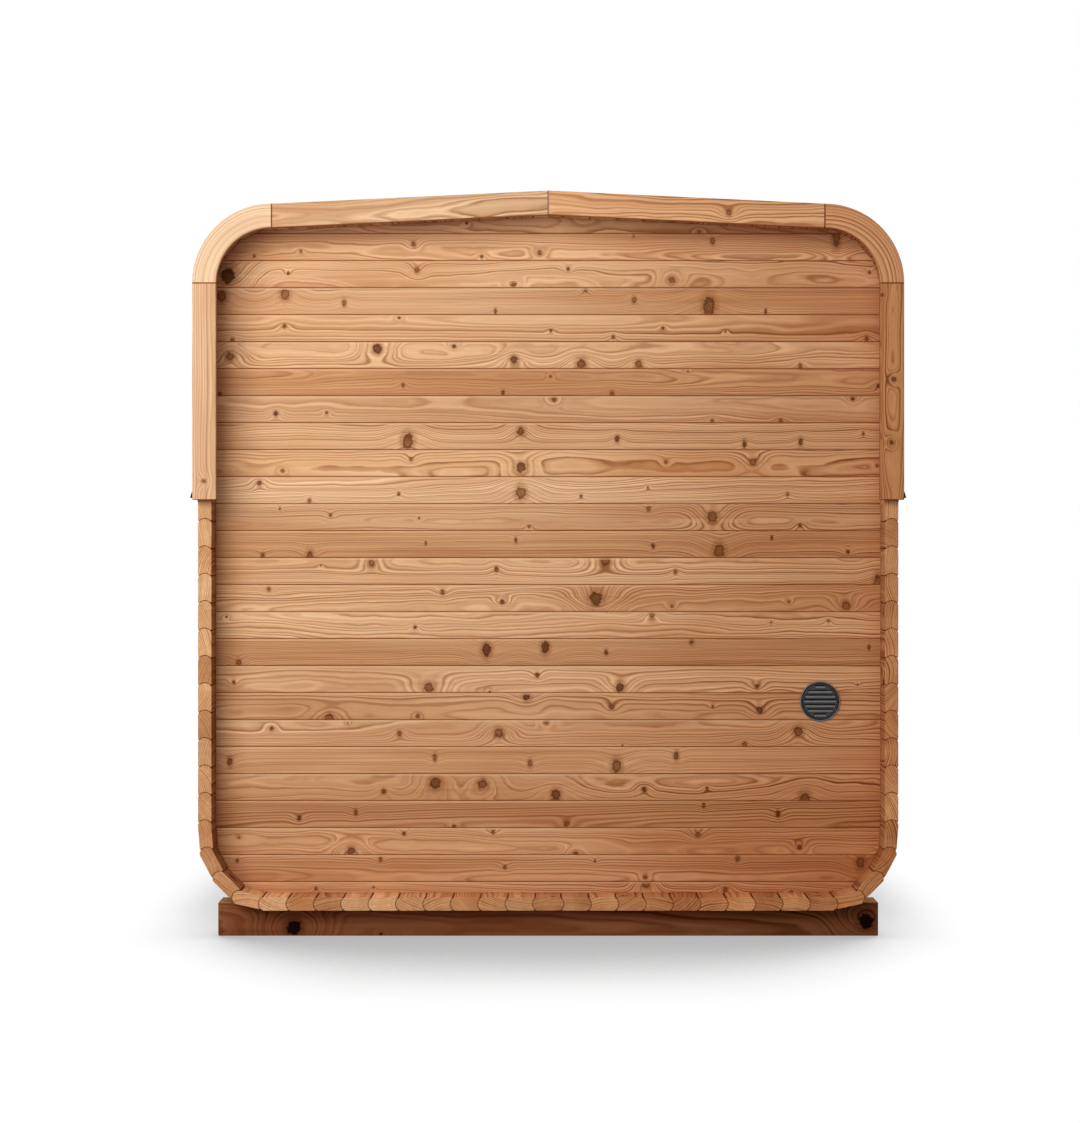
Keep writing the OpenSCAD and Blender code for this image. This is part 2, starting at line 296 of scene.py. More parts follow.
# Turns a pile into a piece, named after its node, that rides on the frame and stands for that node
def finishPiece(pile, finish, node, name=None, sharp=38):
    first, *rest = node.split("_")
    name = name or first + "".join(word.capitalize() for word in rest)
    mesh = bpy.data.meshes.new(name)
    mesh.from_pydata(pile["points"], [], pile["faces"])

    def keep(label, values, kind="FLOAT_VECTOR", key="vector"):
        layer = mesh.attributes.new(label, kind, "POINT")
        layer.data.foreach_set(key, values.astype(np.float32).ravel())

    for label in ("grain", "seed", "tone"):
        keep(label, np.concatenate(pile[label]))
    keep("crease", np.concatenate(pile["crease"]), "FLOAT", "value")
    knots = np.concatenate(pile["knots"])
    for i, label in enumerate(knotNames):
        keep(label, knots[:, 3 * i:3 * i + 3])
    work = bmesh.new()
    work.from_mesh(mesh)
    bmesh.ops.remove_doubles(work, verts=work.verts, dist=2e-6)
    bmesh.ops.dissolve_degenerate(work, dist=1e-6, edges=work.edges)
    work.to_mesh(mesh)
    work.free()
    mesh.polygons.foreach_set("use_smooth", [True] * len(mesh.polygons))
    mesh.set_sharp_from_angle(angle=math.radians(sharp))
    mesh.update()
    piece = addObject(name, mesh)
    mesh.materials.append(finish["material"])
    weighted = piece.modifiers.new("flatFaces", "WEIGHTED_NORMAL")
    weighted.keep_sharp = True
    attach(piece, "root")
    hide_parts(node)
    return piece


# Wood as it is cut: where the board sat in the log, its tint, and the branches that ran through it
def cutBoard(dice, finish, origin, axes, length, width, faceDepth, marks=()):
    spacing = dice.uniform(*finish["ring"])
    rift = dice.random() < finish["riftShare"]
    if rift:
        spacing *= finish["riftRing"]
        side = dice.choice((-1, 1)) * (width / 2 + dice.uniform(*finish["riftSide"]))
        depth = dice.uniform(*finish["riftDepth"])
    else:
        side = dice.uniform(-finish["pithSide"], finish["pithSide"]) * width
        depth = dice.uniform(*finish["pithDepth"])
    lean = (dice.uniform(-1, 1) * finish["lean"], dice.uniform(-1, 1) * finish["lean"])
    pith = (side, depth)
    branches = list(marks)
    likely = finish["knotShare"] * min(1.0, length / finish["knotLength"])
    for _ in range(len(knotNames) - len(branches)):
        if dice.random() > likely:
            continue
        # a dozen tries at a place away from the other branches
        for _ in range(12):
            u = dice.uniform(-0.5, 0.5) * length
            if all(abs(u - other[0]) > length * finish["knotApart"] for other in branches):
                break
        big = dice.random() < finish["bigKnots"]
        radius = dice.uniform(*finish["bigKnot"]) if big else dice.uniform(*finish["smallKnot"])
        branches.append((u, dice.uniform(-finish["knotWithin"], finish["knotWithin"]) * width, radius))
    knots = []
    for u, across, radius in branches:
        v = across + side + lean[0] * u
        w = faceDepth + depth + lean[1] * u
        reach = math.hypot(v, w)
        knots.append((u, radius * v / reach, radius * w / reach))
    tint = dice.uniform(*finish["tint"])
    if dice.random() < finish["darkShare"]:
        tint *= dice.uniform(*finish["darkTint"])
    figure = dice.uniform(*finish["figure"]) * (finish["riftFigure"] if rift else 1)
    return {
        "frame": axes,
        "origin": origin,
        "lean": lean,
        "pith": pith,
        "seed": (dice.uniform(0, 60), dice.uniform(0, 60), dice.uniform(0, 60)),
        "tone": (tint, spacing, figure),
        "knots": knots,
    }


# Shader nodes with less typing
def nodeTools(tree):
    # a value on its way between nodes, added up and multiplied like a number
    class Wired:
        def __init__(self, socket):
            self.socket = socket

        def __add__(self, other):
            return maths("ADD", self, other)

        def __sub__(self, other):
            return maths("SUBTRACT", self, other)

        def __rsub__(self, other):
            return maths("SUBTRACT", other, self)

        def __mul__(self, other):
            return maths("MULTIPLY", self, other)

        def __truediv__(self, other):
            return maths("DIVIDE", self, other)

        __radd__, __rmul__ = __add__, __mul__

        # another output of the same node
        def beside(self, output):
            return Wired(self.socket.node.outputs[output])

    def wire(value, socket):
        if isinstance(value, Wired):
            tree.links.new(value.socket, socket)
        else:
            socket.default_value = value

    # a node with its inputs wired or set, given by one of its outputs
    def made(kind, inputs, output=0, **settings):
        node = tree.nodes.new(kind)
        for key, value in settings.items():
            setattr(node, key, value)
        for key, value in inputs.items():
            wire(value, node.inputs[key])
        return Wired(node.outputs[output])

    def show(kind, surface):
        wire(surface, tree.nodes.new(kind).inputs["Surface"])

    def maths(operation, *values, clamp=False):
        return made("ShaderNodeMath", dict(enumerate(values)), operation=operation, use_clamp=clamp)

    def vector(operation, *values):
        output = "Value" if operation == "LENGTH" else "Vector"
        return made("ShaderNodeVectorMath", dict(enumerate(values)), output, operation=operation)

    def scaled(value, factor):
        return made("ShaderNodeVectorMath", {0: value, "Scale": factor}, operation="SCALE")

    # darker wood is also redder
    def deepened(value, level):
        powers = [maths("POWER", level, power) for power in (1.0, 1.42, 1.75)]
        return vector("MULTIPLY", value, made("ShaderNodeCombineXYZ", dict(enumerate(powers))))

    def mix(factor, a, b, blend="MIX"):
        return made("ShaderNodeMix", {0: factor, 6: a, 7: b}, 2, data_type="RGBA", blend_type=blend)

    def noise(where, scale=1.0, detail=2.0, rough=0.5):
        inputs = {"Vector": where, "Scale": scale, "Detail": detail, "Roughness": rough}
        return made("ShaderNodeTexNoise", inputs)

    def noiseLine(where, detail=1.0):
        return made("ShaderNodeTexNoise", {"W": where, "Scale": 1.0, "Detail": detail}, noise_dimensions="1D")

    def random1(where):
        return made("ShaderNodeTexWhiteNoise", {"W": where}, "Value", noise_dimensions="1D")

    def ramp(value, stops):
        out = made("ShaderNodeValToRGB", {0: value})
        elements = out.socket.node.color_ramp.elements
        while len(elements) < len(stops):
            elements.new(0.5)
        for element, (place, level) in zip(elements, stops):
            element.position = place
            element.color = (level, level, level, 1)
        return out

    # 0 below low, 1 above high, or the other way round
    def between(value, low, high):
        ends = (1, 0) if low > high else (0, 1)
        inputs = {"Value": value, "From Min": min(low, high), "From Max": max(low, high),
                  "To Min": ends[0], "To Max": ends[1]}
        return made("ShaderNodeMapRange", inputs, interpolation_type="SMOOTHSTEP")

    def layer(name, output="Vector"):
        return made("ShaderNodeAttribute", {}, output, attribute_name=name)

    def split(value):
        x = made("ShaderNodeSeparateXYZ", {0: value})
        return x, x.beside(1), x.beside(2)

    def bump(height, distance, strength):
        return made("ShaderNodeBump", {"Strength": strength, "Distance": distance, "Height": height})

    # share of the sky that reaches a point
    def openness(distance, samples, **inputs):
        inputs["Distance"] = distance
        return made("ShaderNodeAmbientOcclusion", inputs, "AO", samples=samples, only_local=False)

    # 1 for rays that look at the background, straight or by way of gloss and glass
    def seenRays():
        camera = made("ShaderNodeLightPath", {}, "Is Camera Ray")
        seen = maths("MAXIMUM", camera, camera.beside("Is Glossy Ray"))
        return maths("MAXIMUM", seen, camera.beside("Is Transmission Ray"))

    return SimpleNamespace(**locals())


def colour(red, green, blue):
    def linear(value):
        value /= 255
        return value / 12.92 if value <= 0.04045 else ((value + 0.055) / 1.055) ** 2.4
    return (linear(red), linear(green), linear(blue), 1)


def freshMaterial(name):
    material = bpy.data.materials.new(name)
    material.use_nodes = True
    material.node_tree.nodes.clear()
    return material, nodeTools(material.node_tree)


# How the grain runs; scales are (along the board, across it)
woodGrain = {
    "waveScale": (6.5, 17),
    "wobbleScale": (26, 70),
    "fade": (0.11, 0.045),          # how fast the swelling round a knot dies away, across and along
    "knotEdgeScale": (70, 96),
    "knotEdge": 1.5,                # raggedness of a knot's edge
    "knotScale": (230, 230),
    "knotSwirl": (2.6, 0.8),
    "rimShape": [(0, 0), (0.32, 0), (0.45, 1), (0.51, 0.8), (0.6, 0)],      # dark rim of a knot
    "unevenRings": (0.55, 1.1),
    "flatCut": 0.34,                # rings cut flatter than this turn faint
    "streakScale": (1.6, 85),
    "streak": 0.36,
    "fibreScale": (14, 620),
    "fibre": 0.16,
    "blotchScale": (1.1, 6),
    "level": 0.74,
    "sunSide": (-0.1, 0.75),        # painted shade grows, the rings stand out more and the painted edge highlight fades between these places across the cabin
    "drawn": (0.42, 0.86),          # rings stand out more towards the right-hand side
    "rainHeight": (1.0, 0.2),
    "dirt": 0.85,
    "heavyKnot": 0.62,
    "relief": 0.0005,
}


# Softwood: growth rings round the pith, bent by the branches, with knots, fibre, stained joints, and painted
# shade and highlights
def woodMaterial(name, finish):
    material, t = freshMaterial(name)
    grain, seed = t.layer("grain"), t.layer("seed")
    tint, spacing, figure = t.split(t.layer("tone"))
    u, v, w = t.split(grain)
    seedLine = t.split(seed)[0]

    def grainNoise(scale, detail, rough=0.5):
        lengthwise, across = scale
        where = t.vector("ADD", t.vector("MULTIPLY", grain, (lengthwise, across, across)), seed)
        return t.noise(where, detail=detail, rough=rough)

    sway = grainNoise(finish["swayScale"], 2, 0.45)
    waves = grainNoise(woodGrain["waveScale"], 1) - 0.5
    wobble = grainNoise(woodGrain["wobbleScale"], 1) - 0.5
    nearest, lift, heavy = 50.0, 0.0, 0.0
    for label in knotNames:
        place, outV, outW = t.split(t.layer(label))
        size = t.maths("SQRT", outV * outV + outW * outW)
        side = (v * outW - w * outV) / size / size
        run = (u - place) / size
        sideSquare, runSquare = side * side, run * run
        reach = t.maths("SQRT", sideSquare + runSquare)
        spread = sideSquare * woodGrain["fade"][0] + runSquare * woodGrain["fade"][1]
        nearest = t.maths("MINIMUM", nearest, reach)
        lift = lift + t.maths("EXPONENT", spread * -1.0) * size
        large = t.between(size, *finish["darkKnot"]) * t.between(reach, 2.4, 1.6)
        heavy = t.maths("MAXIMUM", heavy, large)

    ragged = grainNoise(woodGrain["knotEdgeScale"], 3, 0.6) - 0.5
    nearest = nearest + ragged * woodGrain["knotEdge"]
    distance = t.vector("LENGTH", t.vector("MULTIPLY", grain, (0, 1, 1)))
    curl = (sway - 0.5) * finish["sway"] + waves * finish["waves"] + wobble * finish["wobble"]
    bent = distance + curl * figure + lift * finish["knotLift"]
    rings = bent / spacing
    uneven, unevenBy = woodGrain["unevenRings"]
    rings = rings + t.noiseLine(rings * uneven + seedLine) * unevenBy
    share, number = t.maths("FRACT", rings), t.maths("FLOOR", rings)
    strength = t.random1(number + seedLine) * (1.0 - finish["evenness"]) + finish["evenness"]
    # rings cut nearly flat show as faint broad bands
    steep = t.between(t.maths("ABSOLUTE", v) / distance, 0.0, woodGrain["flatCut"])
    line = t.ramp(share, finish["ringShape"]) * strength * (steep * 0.5 + 0.5)

    streak = grainNoise(woodGrain["streakScale"], 3, 0.6)
    fibre = grainNoise(woodGrain["fibreScale"], 2, 0.6)
    fine = t.noiseLine(bent * finish["fineLines"] + seedLine, detail=2.0)
    # weather has drawn the grain out towards the right-hand side
    x, y, z = t.split(t.made("ShaderNodeNewGeometry", {}, "Position"))
    sunny = t.between(x, *woodGrain["sunSide"])
    drawnMore, drawn = woodGrain["drawn"]
    lateWood = t.maths("MULTIPLY", line * finish["ringContrast"], sunny * drawnMore + drawn, clamp=True)
    base = t.deepened(finish["early"][:3], 1.0 - lateWood)
    blotch = t.between(grainNoise(woodGrain["blotchScale"], 2), 0.42, 0.72) * finish["blotch"]
    base = t.mix(blotch, base, finish["warm"])
    level = streak * woodGrain["streak"] + fibre * woodGrain["fibre"] + fine * finish["fineContrast"]
    base = t.deepened(base, level + (woodGrain["level"] - finish["fineContrast"] / 2))

    # knots, each with a halo, a swirled core and a dark rim
    base = t.mix(t.between(nearest, 2.6, 1.0) * finish["halo"], base, finish["haloColour"])
    inside = grainNoise(woodGrain["knotScale"], 2)
    turns, stir = woodGrain["knotSwirl"]
    swirl = t.maths("FRACT", nearest * turns + inside * stir)
    knotTone = (swirl * 0.55 + inside * 0.45) * (t.between(sway, 0.36, 0.6) + 0.45)
    core = t.mix(knotTone, finish["knotDark"], finish["knotLight"])
    core = t.scaled(core, 1.0 - heavy * woodGrain["heavyKnot"])
    base = t.mix(t.between(nearest, 1.3, 0.75) * 0.92, base, core)
    rim = t.ramp(nearest * 0.5, woodGrain["rimShape"])
    base = t.mix(rim * 0.62, base, finish["knotRim"])

    # each board has aged its own way, and painted shade darkens and reddens the lower boards and the
    # right-hand side
    age = t.random1(seedLine * 7.3) * finish["ageing"]
    base = t.deepened(t.mix(age, base, finish["aged"], blend="MULTIPLY"), tint)
    rain = t.between(z, *woodGrain["rainHeight"]) * finish["rain"]
    worn = t.maths("ADD", rain, sunny * finish["sun"], clamp=True)
    base = t.mix(worn, base, finish["weathered"], blend="MULTIPLY")

    # crease: up to 0.65 a stain, 1 a rim or joint, 2 a notch darkened by painted shade, and below 0 an edge
    # with a painted highlight
    crease = t.layer("crease", "Fac")
    stained = t.mix(t.between(crease, 0.65, 0.95), finish["stainColour"], finish["rimColour"])
    base = t.mix(t.maths("MULTIPLY", crease, finish["stain"], clamp=True), base, stained)
    # painted shade darkens the notches, nearly to black
    base = t.scaled(base, 1.0 - t.between(crease, 1.05, 1.8) * woodGrain["dirt"])
    # painted highlight on the boards' upper edges, fading towards the right-hand side
    fresh = (sunny * 0.8 - 1.0) * finish["fresh"]
    base = t.mix(t.maths("MULTIPLY", crease, fresh, clamp=True), base, finish["paintedHighlightColour"])
    # painted shade: darker where less of the sky reaches, in corners, recesses and between parts
    hidden = 1.0 - t.openness(finish["paintedCornerShadeReach"], 4)
    base = t.mix(hidden * finish["hollow"], base, finish["paintedCornerShadeColour"], blend="MULTIPLY")
    # painted light: faces turned upwards are paler
    if "paleTop" in finish:
        up = t.split(t.made("ShaderNodeNewGeometry", {}, "Normal"))[2]
        base = t.mix(t.between(up, 0.15, 0.6), base, t.mix(line, finish["paleTop"], finish["warm"]))
    height = fibre * 0.5 - line * 0.5 + t.between(nearest, 1.2, 0.9) * 0.5
    t.show("ShaderNodeOutputMaterial", t.made("ShaderNodeBsdfPrincipled", {
        "Base Color": base,
        "Roughness": line * 0.1 + fibre * 0.16 + finish["rough"],
        "Normal": t.bump(height, woodGrain["relief"], 0.45),
        "Specular IOR Level": finish["shine"],
    }))
    return material


# A light softwood: its colours, its figure and how the boards are cut
lightWood = {
    "early": colour(246, 204, 162),
    "warm": colour(198, 136, 86),
    "weathered": colour(239, 213, 194),
    "rain": 0.6,
    "sun": 0.4,
    "haloColour": colour(150, 92, 53),
    "knotDark": colour(94, 54, 31),
    "knotLight": colour(184, 124, 80),
    "darkKnot": (0.013, 0.0178),            # the largest knots are nearly black
    "knotRim": colour(66, 36, 20),
    "aged": colour(242, 220, 198),
    "stainColour": colour(106, 54, 26),
    "rimColour": colour(164, 90, 45),       # joints and sawn rims
    "paintedHighlightColour": colour(246, 206, 162),   # painted highlight on the upper edges of the boards
    "paintedCornerShadeColour": colour(168, 92, 50),    # painted shade in corners, recesses and between parts
    "fresh": 0.8,
    "hollow": 0.36,
    "paintedCornerShadeReach": 0.065,
    "ringShape": [(0, 0.3), (0.1, 0.02), (0.36, 0.07), (0.66, 0.45), (0.82, 1), (0.93, 0.9), (1, 0.3)],
    "ringContrast": 0.62,
    "evenness": 0.3,        # 1 makes every ring as dark as the next
    "swayScale": (1.7, 9.0),
    "sway": 0.04,
    "waves": 0.009,
    "wobble": 0.0014,
    "fineLines": 320,       # faint lines to the metre of radius
    "fineContrast": 0.5,
    "knotLift": 1.8,
    "blotch": 0.5,
    "halo": 0.5,
    "ageing": 0.6,
    "stain": 0.85,
    "rough": 0.62,
    "shine": 0.0,
    "ring": (0.0031, 0.0056),       # from one growth ring to the next
    "pithSide": 0.6,        # share of the width, either way from the middle
    "pithDepth": (0.022, 0.1),
    "riftShare": 0.35,      # boards sawn beside the pith, with closer, straighter lines
    "riftSide": (0.02, 0.06),
    "riftDepth": (0.045, 0.1),
    "riftRing": 0.75,       # share of the spacing and figure of the others
    "riftFigure": 0.6,
    "lean": 0.016,
    "figure": (0.4, 1.1),
    "knotShare": 0.8,
    "knotLength": 1.9,      # a shorter board has fewer knots
    "knotApart": 0.07,      # share of the length
    "knotWithin": 0.46,     # share of the width, either way from the middle
    "bigKnots": 0.14,
    "bigKnot": (0.008, 0.0125),
    "smallKnot": (0.0022, 0.0062),
    "tint": (0.9, 1.04),
    "darkShare": 0.16,
    "darkTint": (0.82, 0.92),
}


def woodFinish(name, like, **changes):
    finish = dict(like, **changes)
    finish["material"] = woodMaterial(name, finish)
    return finish


wallWood = woodFinish(
    "wallWood", lightWood, slot="wall_wood", stainColour=colour(172, 94, 48), rimColour=colour(172, 94, 48),
    stain=1.0)
staveWood = woodFinish(
    "staveWood", lightWood, slot="stave_wood", early=colour(252, 210, 164), tint=(0.84, 1.1), darkShare=0.22,
    stain=0.95, ring=(0.005, 0.0085), knotShare=0.3, figure=(0.25, 0.6), bigKnots=0.12, riftShare=0.2,
    pithDepth=(0.04, 0.3), ringContrast=0.6, hollow=0.6, sun=0.68)
trimWood = woodFinish(
    "trimWood", lightWood, slot="trim_wood", early=colour(251, 222, 188), tint=(0.98, 1.02), darkShare=0.0,
    knotShare=0.1, bigKnots=0.0, smallKnot=(0.0035, 0.0065), stain=1.0, ring=(0.003, 0.0042),
    stainColour=colour(128, 64, 31), rimColour=colour(140, 70, 33), riftShare=0.85, figure=(0.15, 0.3),
    ringContrast=0.35, evenness=0.65, sun=0.6)
cornerWood = woodFinish(
    "cornerWood", trimWood, ring=(0.008, 0.011), riftShare=1.0, figure=(0.3, 0.5), ringContrast=0.22)
topTrimWood = woodFinish(
    "topTrimWood", trimWood, early=colour(239, 206, 170), ring=(0.004, 0.006), riftShare=0.0,
    figure=(0.8, 1.3), knotShare=0.25, ringContrast=0.75, evenness=0.4, sun=0.4)
amberTrimWood = woodFinish(
    "amberTrimWood", topTrimWood, early=colour(242, 192, 146), ringContrast=0.6, evenness=0.5, sun=0.1)
amberCornerWood = woodFinish(
    "amberCornerWood", amberTrimWood, ring=(0.0052, 0.0068), riftShare=1.0, figure=(0.2, 0.4),
    ringContrast=0.5, sun=0.35)
redTrimWood = woodFinish(
    "redTrimWood", trimWood, early=colour(216, 157, 109), warm=colour(184, 122, 76), riftShare=0.0,
    figure=(0.6, 0.8), ringContrast=0.6, evenness=0.3, knotShare=0.3, rain=0.0, sun=0.0)
cradleWood = woodFinish(
    "cradleWood", lightWood, slot="cradle_wood", early=colour(177, 116, 79), warm=colour(118, 68, 41),
    haloColour=colour(56, 28, 15), knotDark=colour(10, 6, 4), knotLight=colour(26, 14, 9),
    knotRim=colour(12, 7, 5), aged=colour(216, 182, 160), rimColour=colour(90, 46, 23),
    weathered=colour(226, 230, 234), paleTop=colour(232, 178, 126), ringContrast=0.8, blotch=0.7,
    tint=(0.9, 1.0), darkShare=0.0, knotShare=0.2, bigKnots=0.0, smallKnot=(0.002, 0.004), knotLift=2.4,
    ring=(0.0045, 0.0065), riftShare=0.0, stain=0.5, rough=0.68, rain=0.0, sun=0.9)
handleWood = woodFinish(
    "handleWood", lightWood, slot="handle_wood", early=colour(178, 118, 74), warm=colour(150, 92, 54),
    tint=(0.95, 1.0), darkShare=0.0, knotShare=0.0, riftShare=1.0)
print("wood finishes made")


# Dark sheet metal, black hinge iron and moulded plastic
def metalFinish(name, **finish):
    material, t = freshMaterial(name)
    where = t.made("ShaderNodeTexCoord", {}, "Object")
    cloud = t.noise(where, scale=14, detail=3)
    speck = t.noise(where, scale=finish["speckScale"], detail=2)
    base = t.mix(t.between(cloud, 0.35, 0.7), finish["dark"], finish["light"])
    base = t.mix(t.between(speck, 0.66, 0.74) * finish["wear"], base, finish["worn"])
    # a crease below 0 gives an edge a painted highlight
    base = t.mix(t.maths("MULTIPLY", t.layer("crease", "Fac"), -1.0, clamp=True), base, finish["worn"])
    t.show("ShaderNodeOutputMaterial", t.made("ShaderNodeBsdfPrincipled", {
        "Base Color": base,
        "Roughness": cloud * 0.22 + finish["rough"],
        "Normal": t.bump(speck, finish["bump"], 0.4),
        "Metallic": finish["metallic"],
        "Specular IOR Level": finish["shine"],
    }))
    return dict(finish, material=material)


dripMetal = metalFinish(
    "dripMetal", slot="drip_metal", dark=colour(20, 19, 19), light=colour(34, 33, 33),
    worn=colour(78, 76, 74), wear=0.25, speckScale=420, rough=0.55, bump=0.00012, metallic=0.0, shine=0.1)
hingeMetal = metalFinish(
    "hingeMetal", slot="hinge_metal", dark=colour(22, 22, 23), light=colour(40, 40, 42),
    worn=colour(120, 118, 116), wear=0.35, speckScale=260, rough=0.34, bump=0.0004, metallic=0.35, shine=0.5)
ventPlastic = metalFinish(
    "ventPlastic", slot="vent_plastic", dark=colour(18, 19, 20), light=colour(28, 29, 30),
    worn=colour(136, 138, 142), wear=0.1, speckScale=900, rough=0.16, bump=0.00008, metallic=0.0, shine=0.5)


# Crushed stone on felt, each tab its own shade
def shingleFinish(name, **finish):
    material, t = freshMaterial(name)
    where = t.made("ShaderNodeTexCoord", {}, "Object")
    cells = t.made("ShaderNodeTexVoronoi", {"Vector": where, "Scale": finish["granules"]}, "Color")
    grit = t.split(cells)[0]
    shade = t.split(t.layer("tone"))[0]
    base = t.mix(t.between(grit, 0.15, 0.9), finish["dark"], finish["light"])
    base = t.mix(t.between(grit, 0.93, 0.97), base, finish["fleck"])
    dust = t.between(t.noise(where, scale=5, detail=4), 0.5, 0.75) * finish["dust"]
    base = t.scaled(t.mix(dust, base, finish["dusty"]), shade)
    base = t.mix(t.layer("crease", "Fac") * finish["edgeDirt"], base, finish["edge"])
    t.show("ShaderNodeOutputMaterial", t.made("ShaderNodeBsdfPrincipled", {
        "Base Color": base,
        "Roughness": grit * 0.15 + finish["rough"],
        "Normal": t.bump(1.0 - cells.beside("Distance"), finish["bump"], 0.6),
        "Specular IOR Level": finish["shine"],
    }))
    return dict(finish, material=material)


shingleFelt = shingleFinish(
    "shingleFelt", slot="roof_shingle", granules=620, dark=colour(38, 37, 37), light=colour(88, 86, 84),
    fleck=colour(150, 146, 140), dusty=colour(98, 92, 86), dust=0.35, edge=colour(16, 15, 15), edgeDirt=0.8,
    rough=0.78, bump=0.0012, shine=0.25)
print("metal, plastic and felt made")

# Staves of the shell
staveCut = {
    "lip": 0.0011,          # blunt edge of the cove
    "notch": (0.0075, 0.0042),      # chamfer beside each bead on the outside: along, deep
    "roomNotch": (0.0025, 0.002),   # and the smaller one on the room side
    "bevel": 0.0007,        # softened rim of the sawn ends
    "endStain": 0.0009,     # the joint's stain reaches this far over the sawn end
    "leftSide": 0.62,       # painted shade on the inner sides beyond the end walls
    "rightSide": 0.34,
    "arcSteps": 9,
    "turned": 0.5,          # share of the staves with the heart side out
    "seed": 411,
}


# Outline of a stave as (along its width, through its thickness, stain); the room side is positive
def staveOutline(width, less=0.0, clamp=None, cutAt=None, middle=False):
    bead, cove, side = shell["beadRadius"] - less, shell["beadRadius"] + shell["gap"] + less, half - less
    steps = staveCut["arcSteps"]
    beadTurn = math.asin(side / bead)

    def beadArc(centre, direction):
        arc = []
        for i in range(steps + 1):
            a = -beadTurn + 2 * beadTurn * i / steps
            stain = min(1, 3 * min(i, steps - i) / steps)
            arc.append((centre + direction * bead * math.cos(a), direction * bead * math.sin(a), stain))
        return arc

    if middle:
        return beadArc(width, 1) + beadArc(0, -1)
    long, deep = staveCut["notch"]
    roomLong, roomDeep = staveCut["roomNotch"]
    coveTurn = math.asin((side - roomDeep) / cove)
    outerTurn = math.asin((side - deep) / cove)
    lip = cove * math.cos(math.asin((side - staveCut["lip"]) / cove))
    roomLip = cove * math.cos(coveTurn)
    out = [(lip + 0.0001, deep - side, 0.9), (lip + long * 0.4, deep * 0.4 - side, 0.5),
           (lip + long, -side, 0)]
    if cutAt is None:
        out += beadArc(width, 1)
    else:
        out += [(cutAt(-side) - less, -side, 0), (cutAt(side) - less, side, 0)]
    # painted shade darkens the room side's notch
    out += [(roomLip + roomLong, side, 0), (roomLip + roomLong * 0.8, side - roomDeep * 0.16, 1.9),
            (roomLip + 0.0001, side - roomDeep + 0.0002, 2)]
    for i in range(steps + 1):
        a = coveTurn - (coveTurn + outerTurn) * i / steps
        out.append((cove * math.cos(a), cove * math.sin(a), 1))
    if clamp is not None:
        coveLimit = math.sqrt(cove * cove - clamp * clamp)
        beadLimit = width + math.sqrt(bead * bead - clamp * clamp) if cutAt is None else 9
        out = [(min(max(s, coveLimit), beadLimit), clamp, c) if t > clamp else (s, t, c) for s, t, c in out]
    return out


def addStave(pile, k, mirror, dice, middle=False):
    heading = 0 if middle else headings[k]
    forward, inward = turn(heading), turn(heading + 90)
    base = joints[0] - np.array([shell["middleWidth"], 0]) if middle else joints[k]
    width = shell["middleWidth"] if middle else shell["pitch"]
    ridge = k == roofFirst + roofFull
    cutAt = (lambda t: (shell["gap"] / 2 - base[0] - t * inward[0]) / forward[0]) if ridge else None
    bevel, grooveWall = staveCut["bevel"], shell["gap"]
    groove = half - shell["grooveDepth"]
    stations = [(-endY, bevel + staveCut["endStain"], None, 0), (-endY, bevel, None, 0.9),
                (-endY + bevel * 0.35, bevel * 0.35, None, 1), (-endY + bevel, 0, None, 1)]
    stations += [(-wallOutY - grooveWall, 0, None, 1), (-wallOutY - grooveWall, 0, groove, 1),
                 (-wallInY + grooveWall, 0, groove, 1), (-wallInY + grooveWall, 0, None, 1)]
    stations += [(-y, less, clamp, stain) for y, less, clamp, stain in stations[::-1]]
    # painted shade on the upright inner sides beyond the end walls
    weathered = staveCut["leftSide" if mirror else "rightSide"] * min(1.0, abs(inward[0]) * 1.2)
    rings, creases = [], []
    for y, less, clamp, stain in stations:
        ring, crease = [], []
        outside = weathered if abs(y) > wallOutY + grooveWall / 2 else 0
        for s, t, c in staveOutline(width, less, clamp, cutAt, middle):
            flat = base + s * forward + t * inward
            ring.append((-flat[0] if mirror else flat[0], y, flat[1]))
            crease.append(max(c * stain, outside if t > half * 0.8 and less < bevel * 0.9 else 0))
        rings.append(ring)
        creases.append(crease)
    side = -1 if mirror else 1
    centre = base + forward * width / 2
    axes = ((0, 1, 0), (side * forward[0], 0, forward[1]), (-side * inward[0], 0, -inward[1]))
    wood = cutBoard(dice, staveWood, (side * centre[0], 0, centre[1]), axes, 2 * endY, width, half)
    if dice.random() < staveCut["turned"]:
        wood["pith"] = (wood["pith"][0], -wood["pith"][1] - 0.02)
        wood["knots"] = [(place, outV, -outW) for place, outV, outW in wood["knots"]]
    addRings(pile, rings, wood, creases)


def makeStaves():
    lowerFirst = shell["floorStaves"]
    wallFirst = lowerFirst + len(shell["lowerCorner"])
    upperFirst = wallFirst + shell["wallStaves"]
    runs = {
        "floor_staves": (0, lowerFirst),
        "lower_corner_staves": (lowerFirst, wallFirst),
        "wall_staves": (wallFirst, upperFirst),
        "upper_corner_staves": (upperFirst, roofFirst),
        "roof_staves": (roofFirst, roofFirst + roofFull + 1),
    }
    dice = random.Random(staveCut["seed"])
    pile = startPile()
    addStave(pile, 0, False, dice, middle=True)
    finishPiece(pile, staveWood, "centre_floor_stave")
    for side in ("left", "right"):
        for run, (first, past) in runs.items():
            pile = startPile()
            for k in range(first, past):
                addStave(pile, k, side == "left", dice)
            finishPiece(pile, staveWood, side + "_" + run)


makeStaves()
print("staves of the shell done")

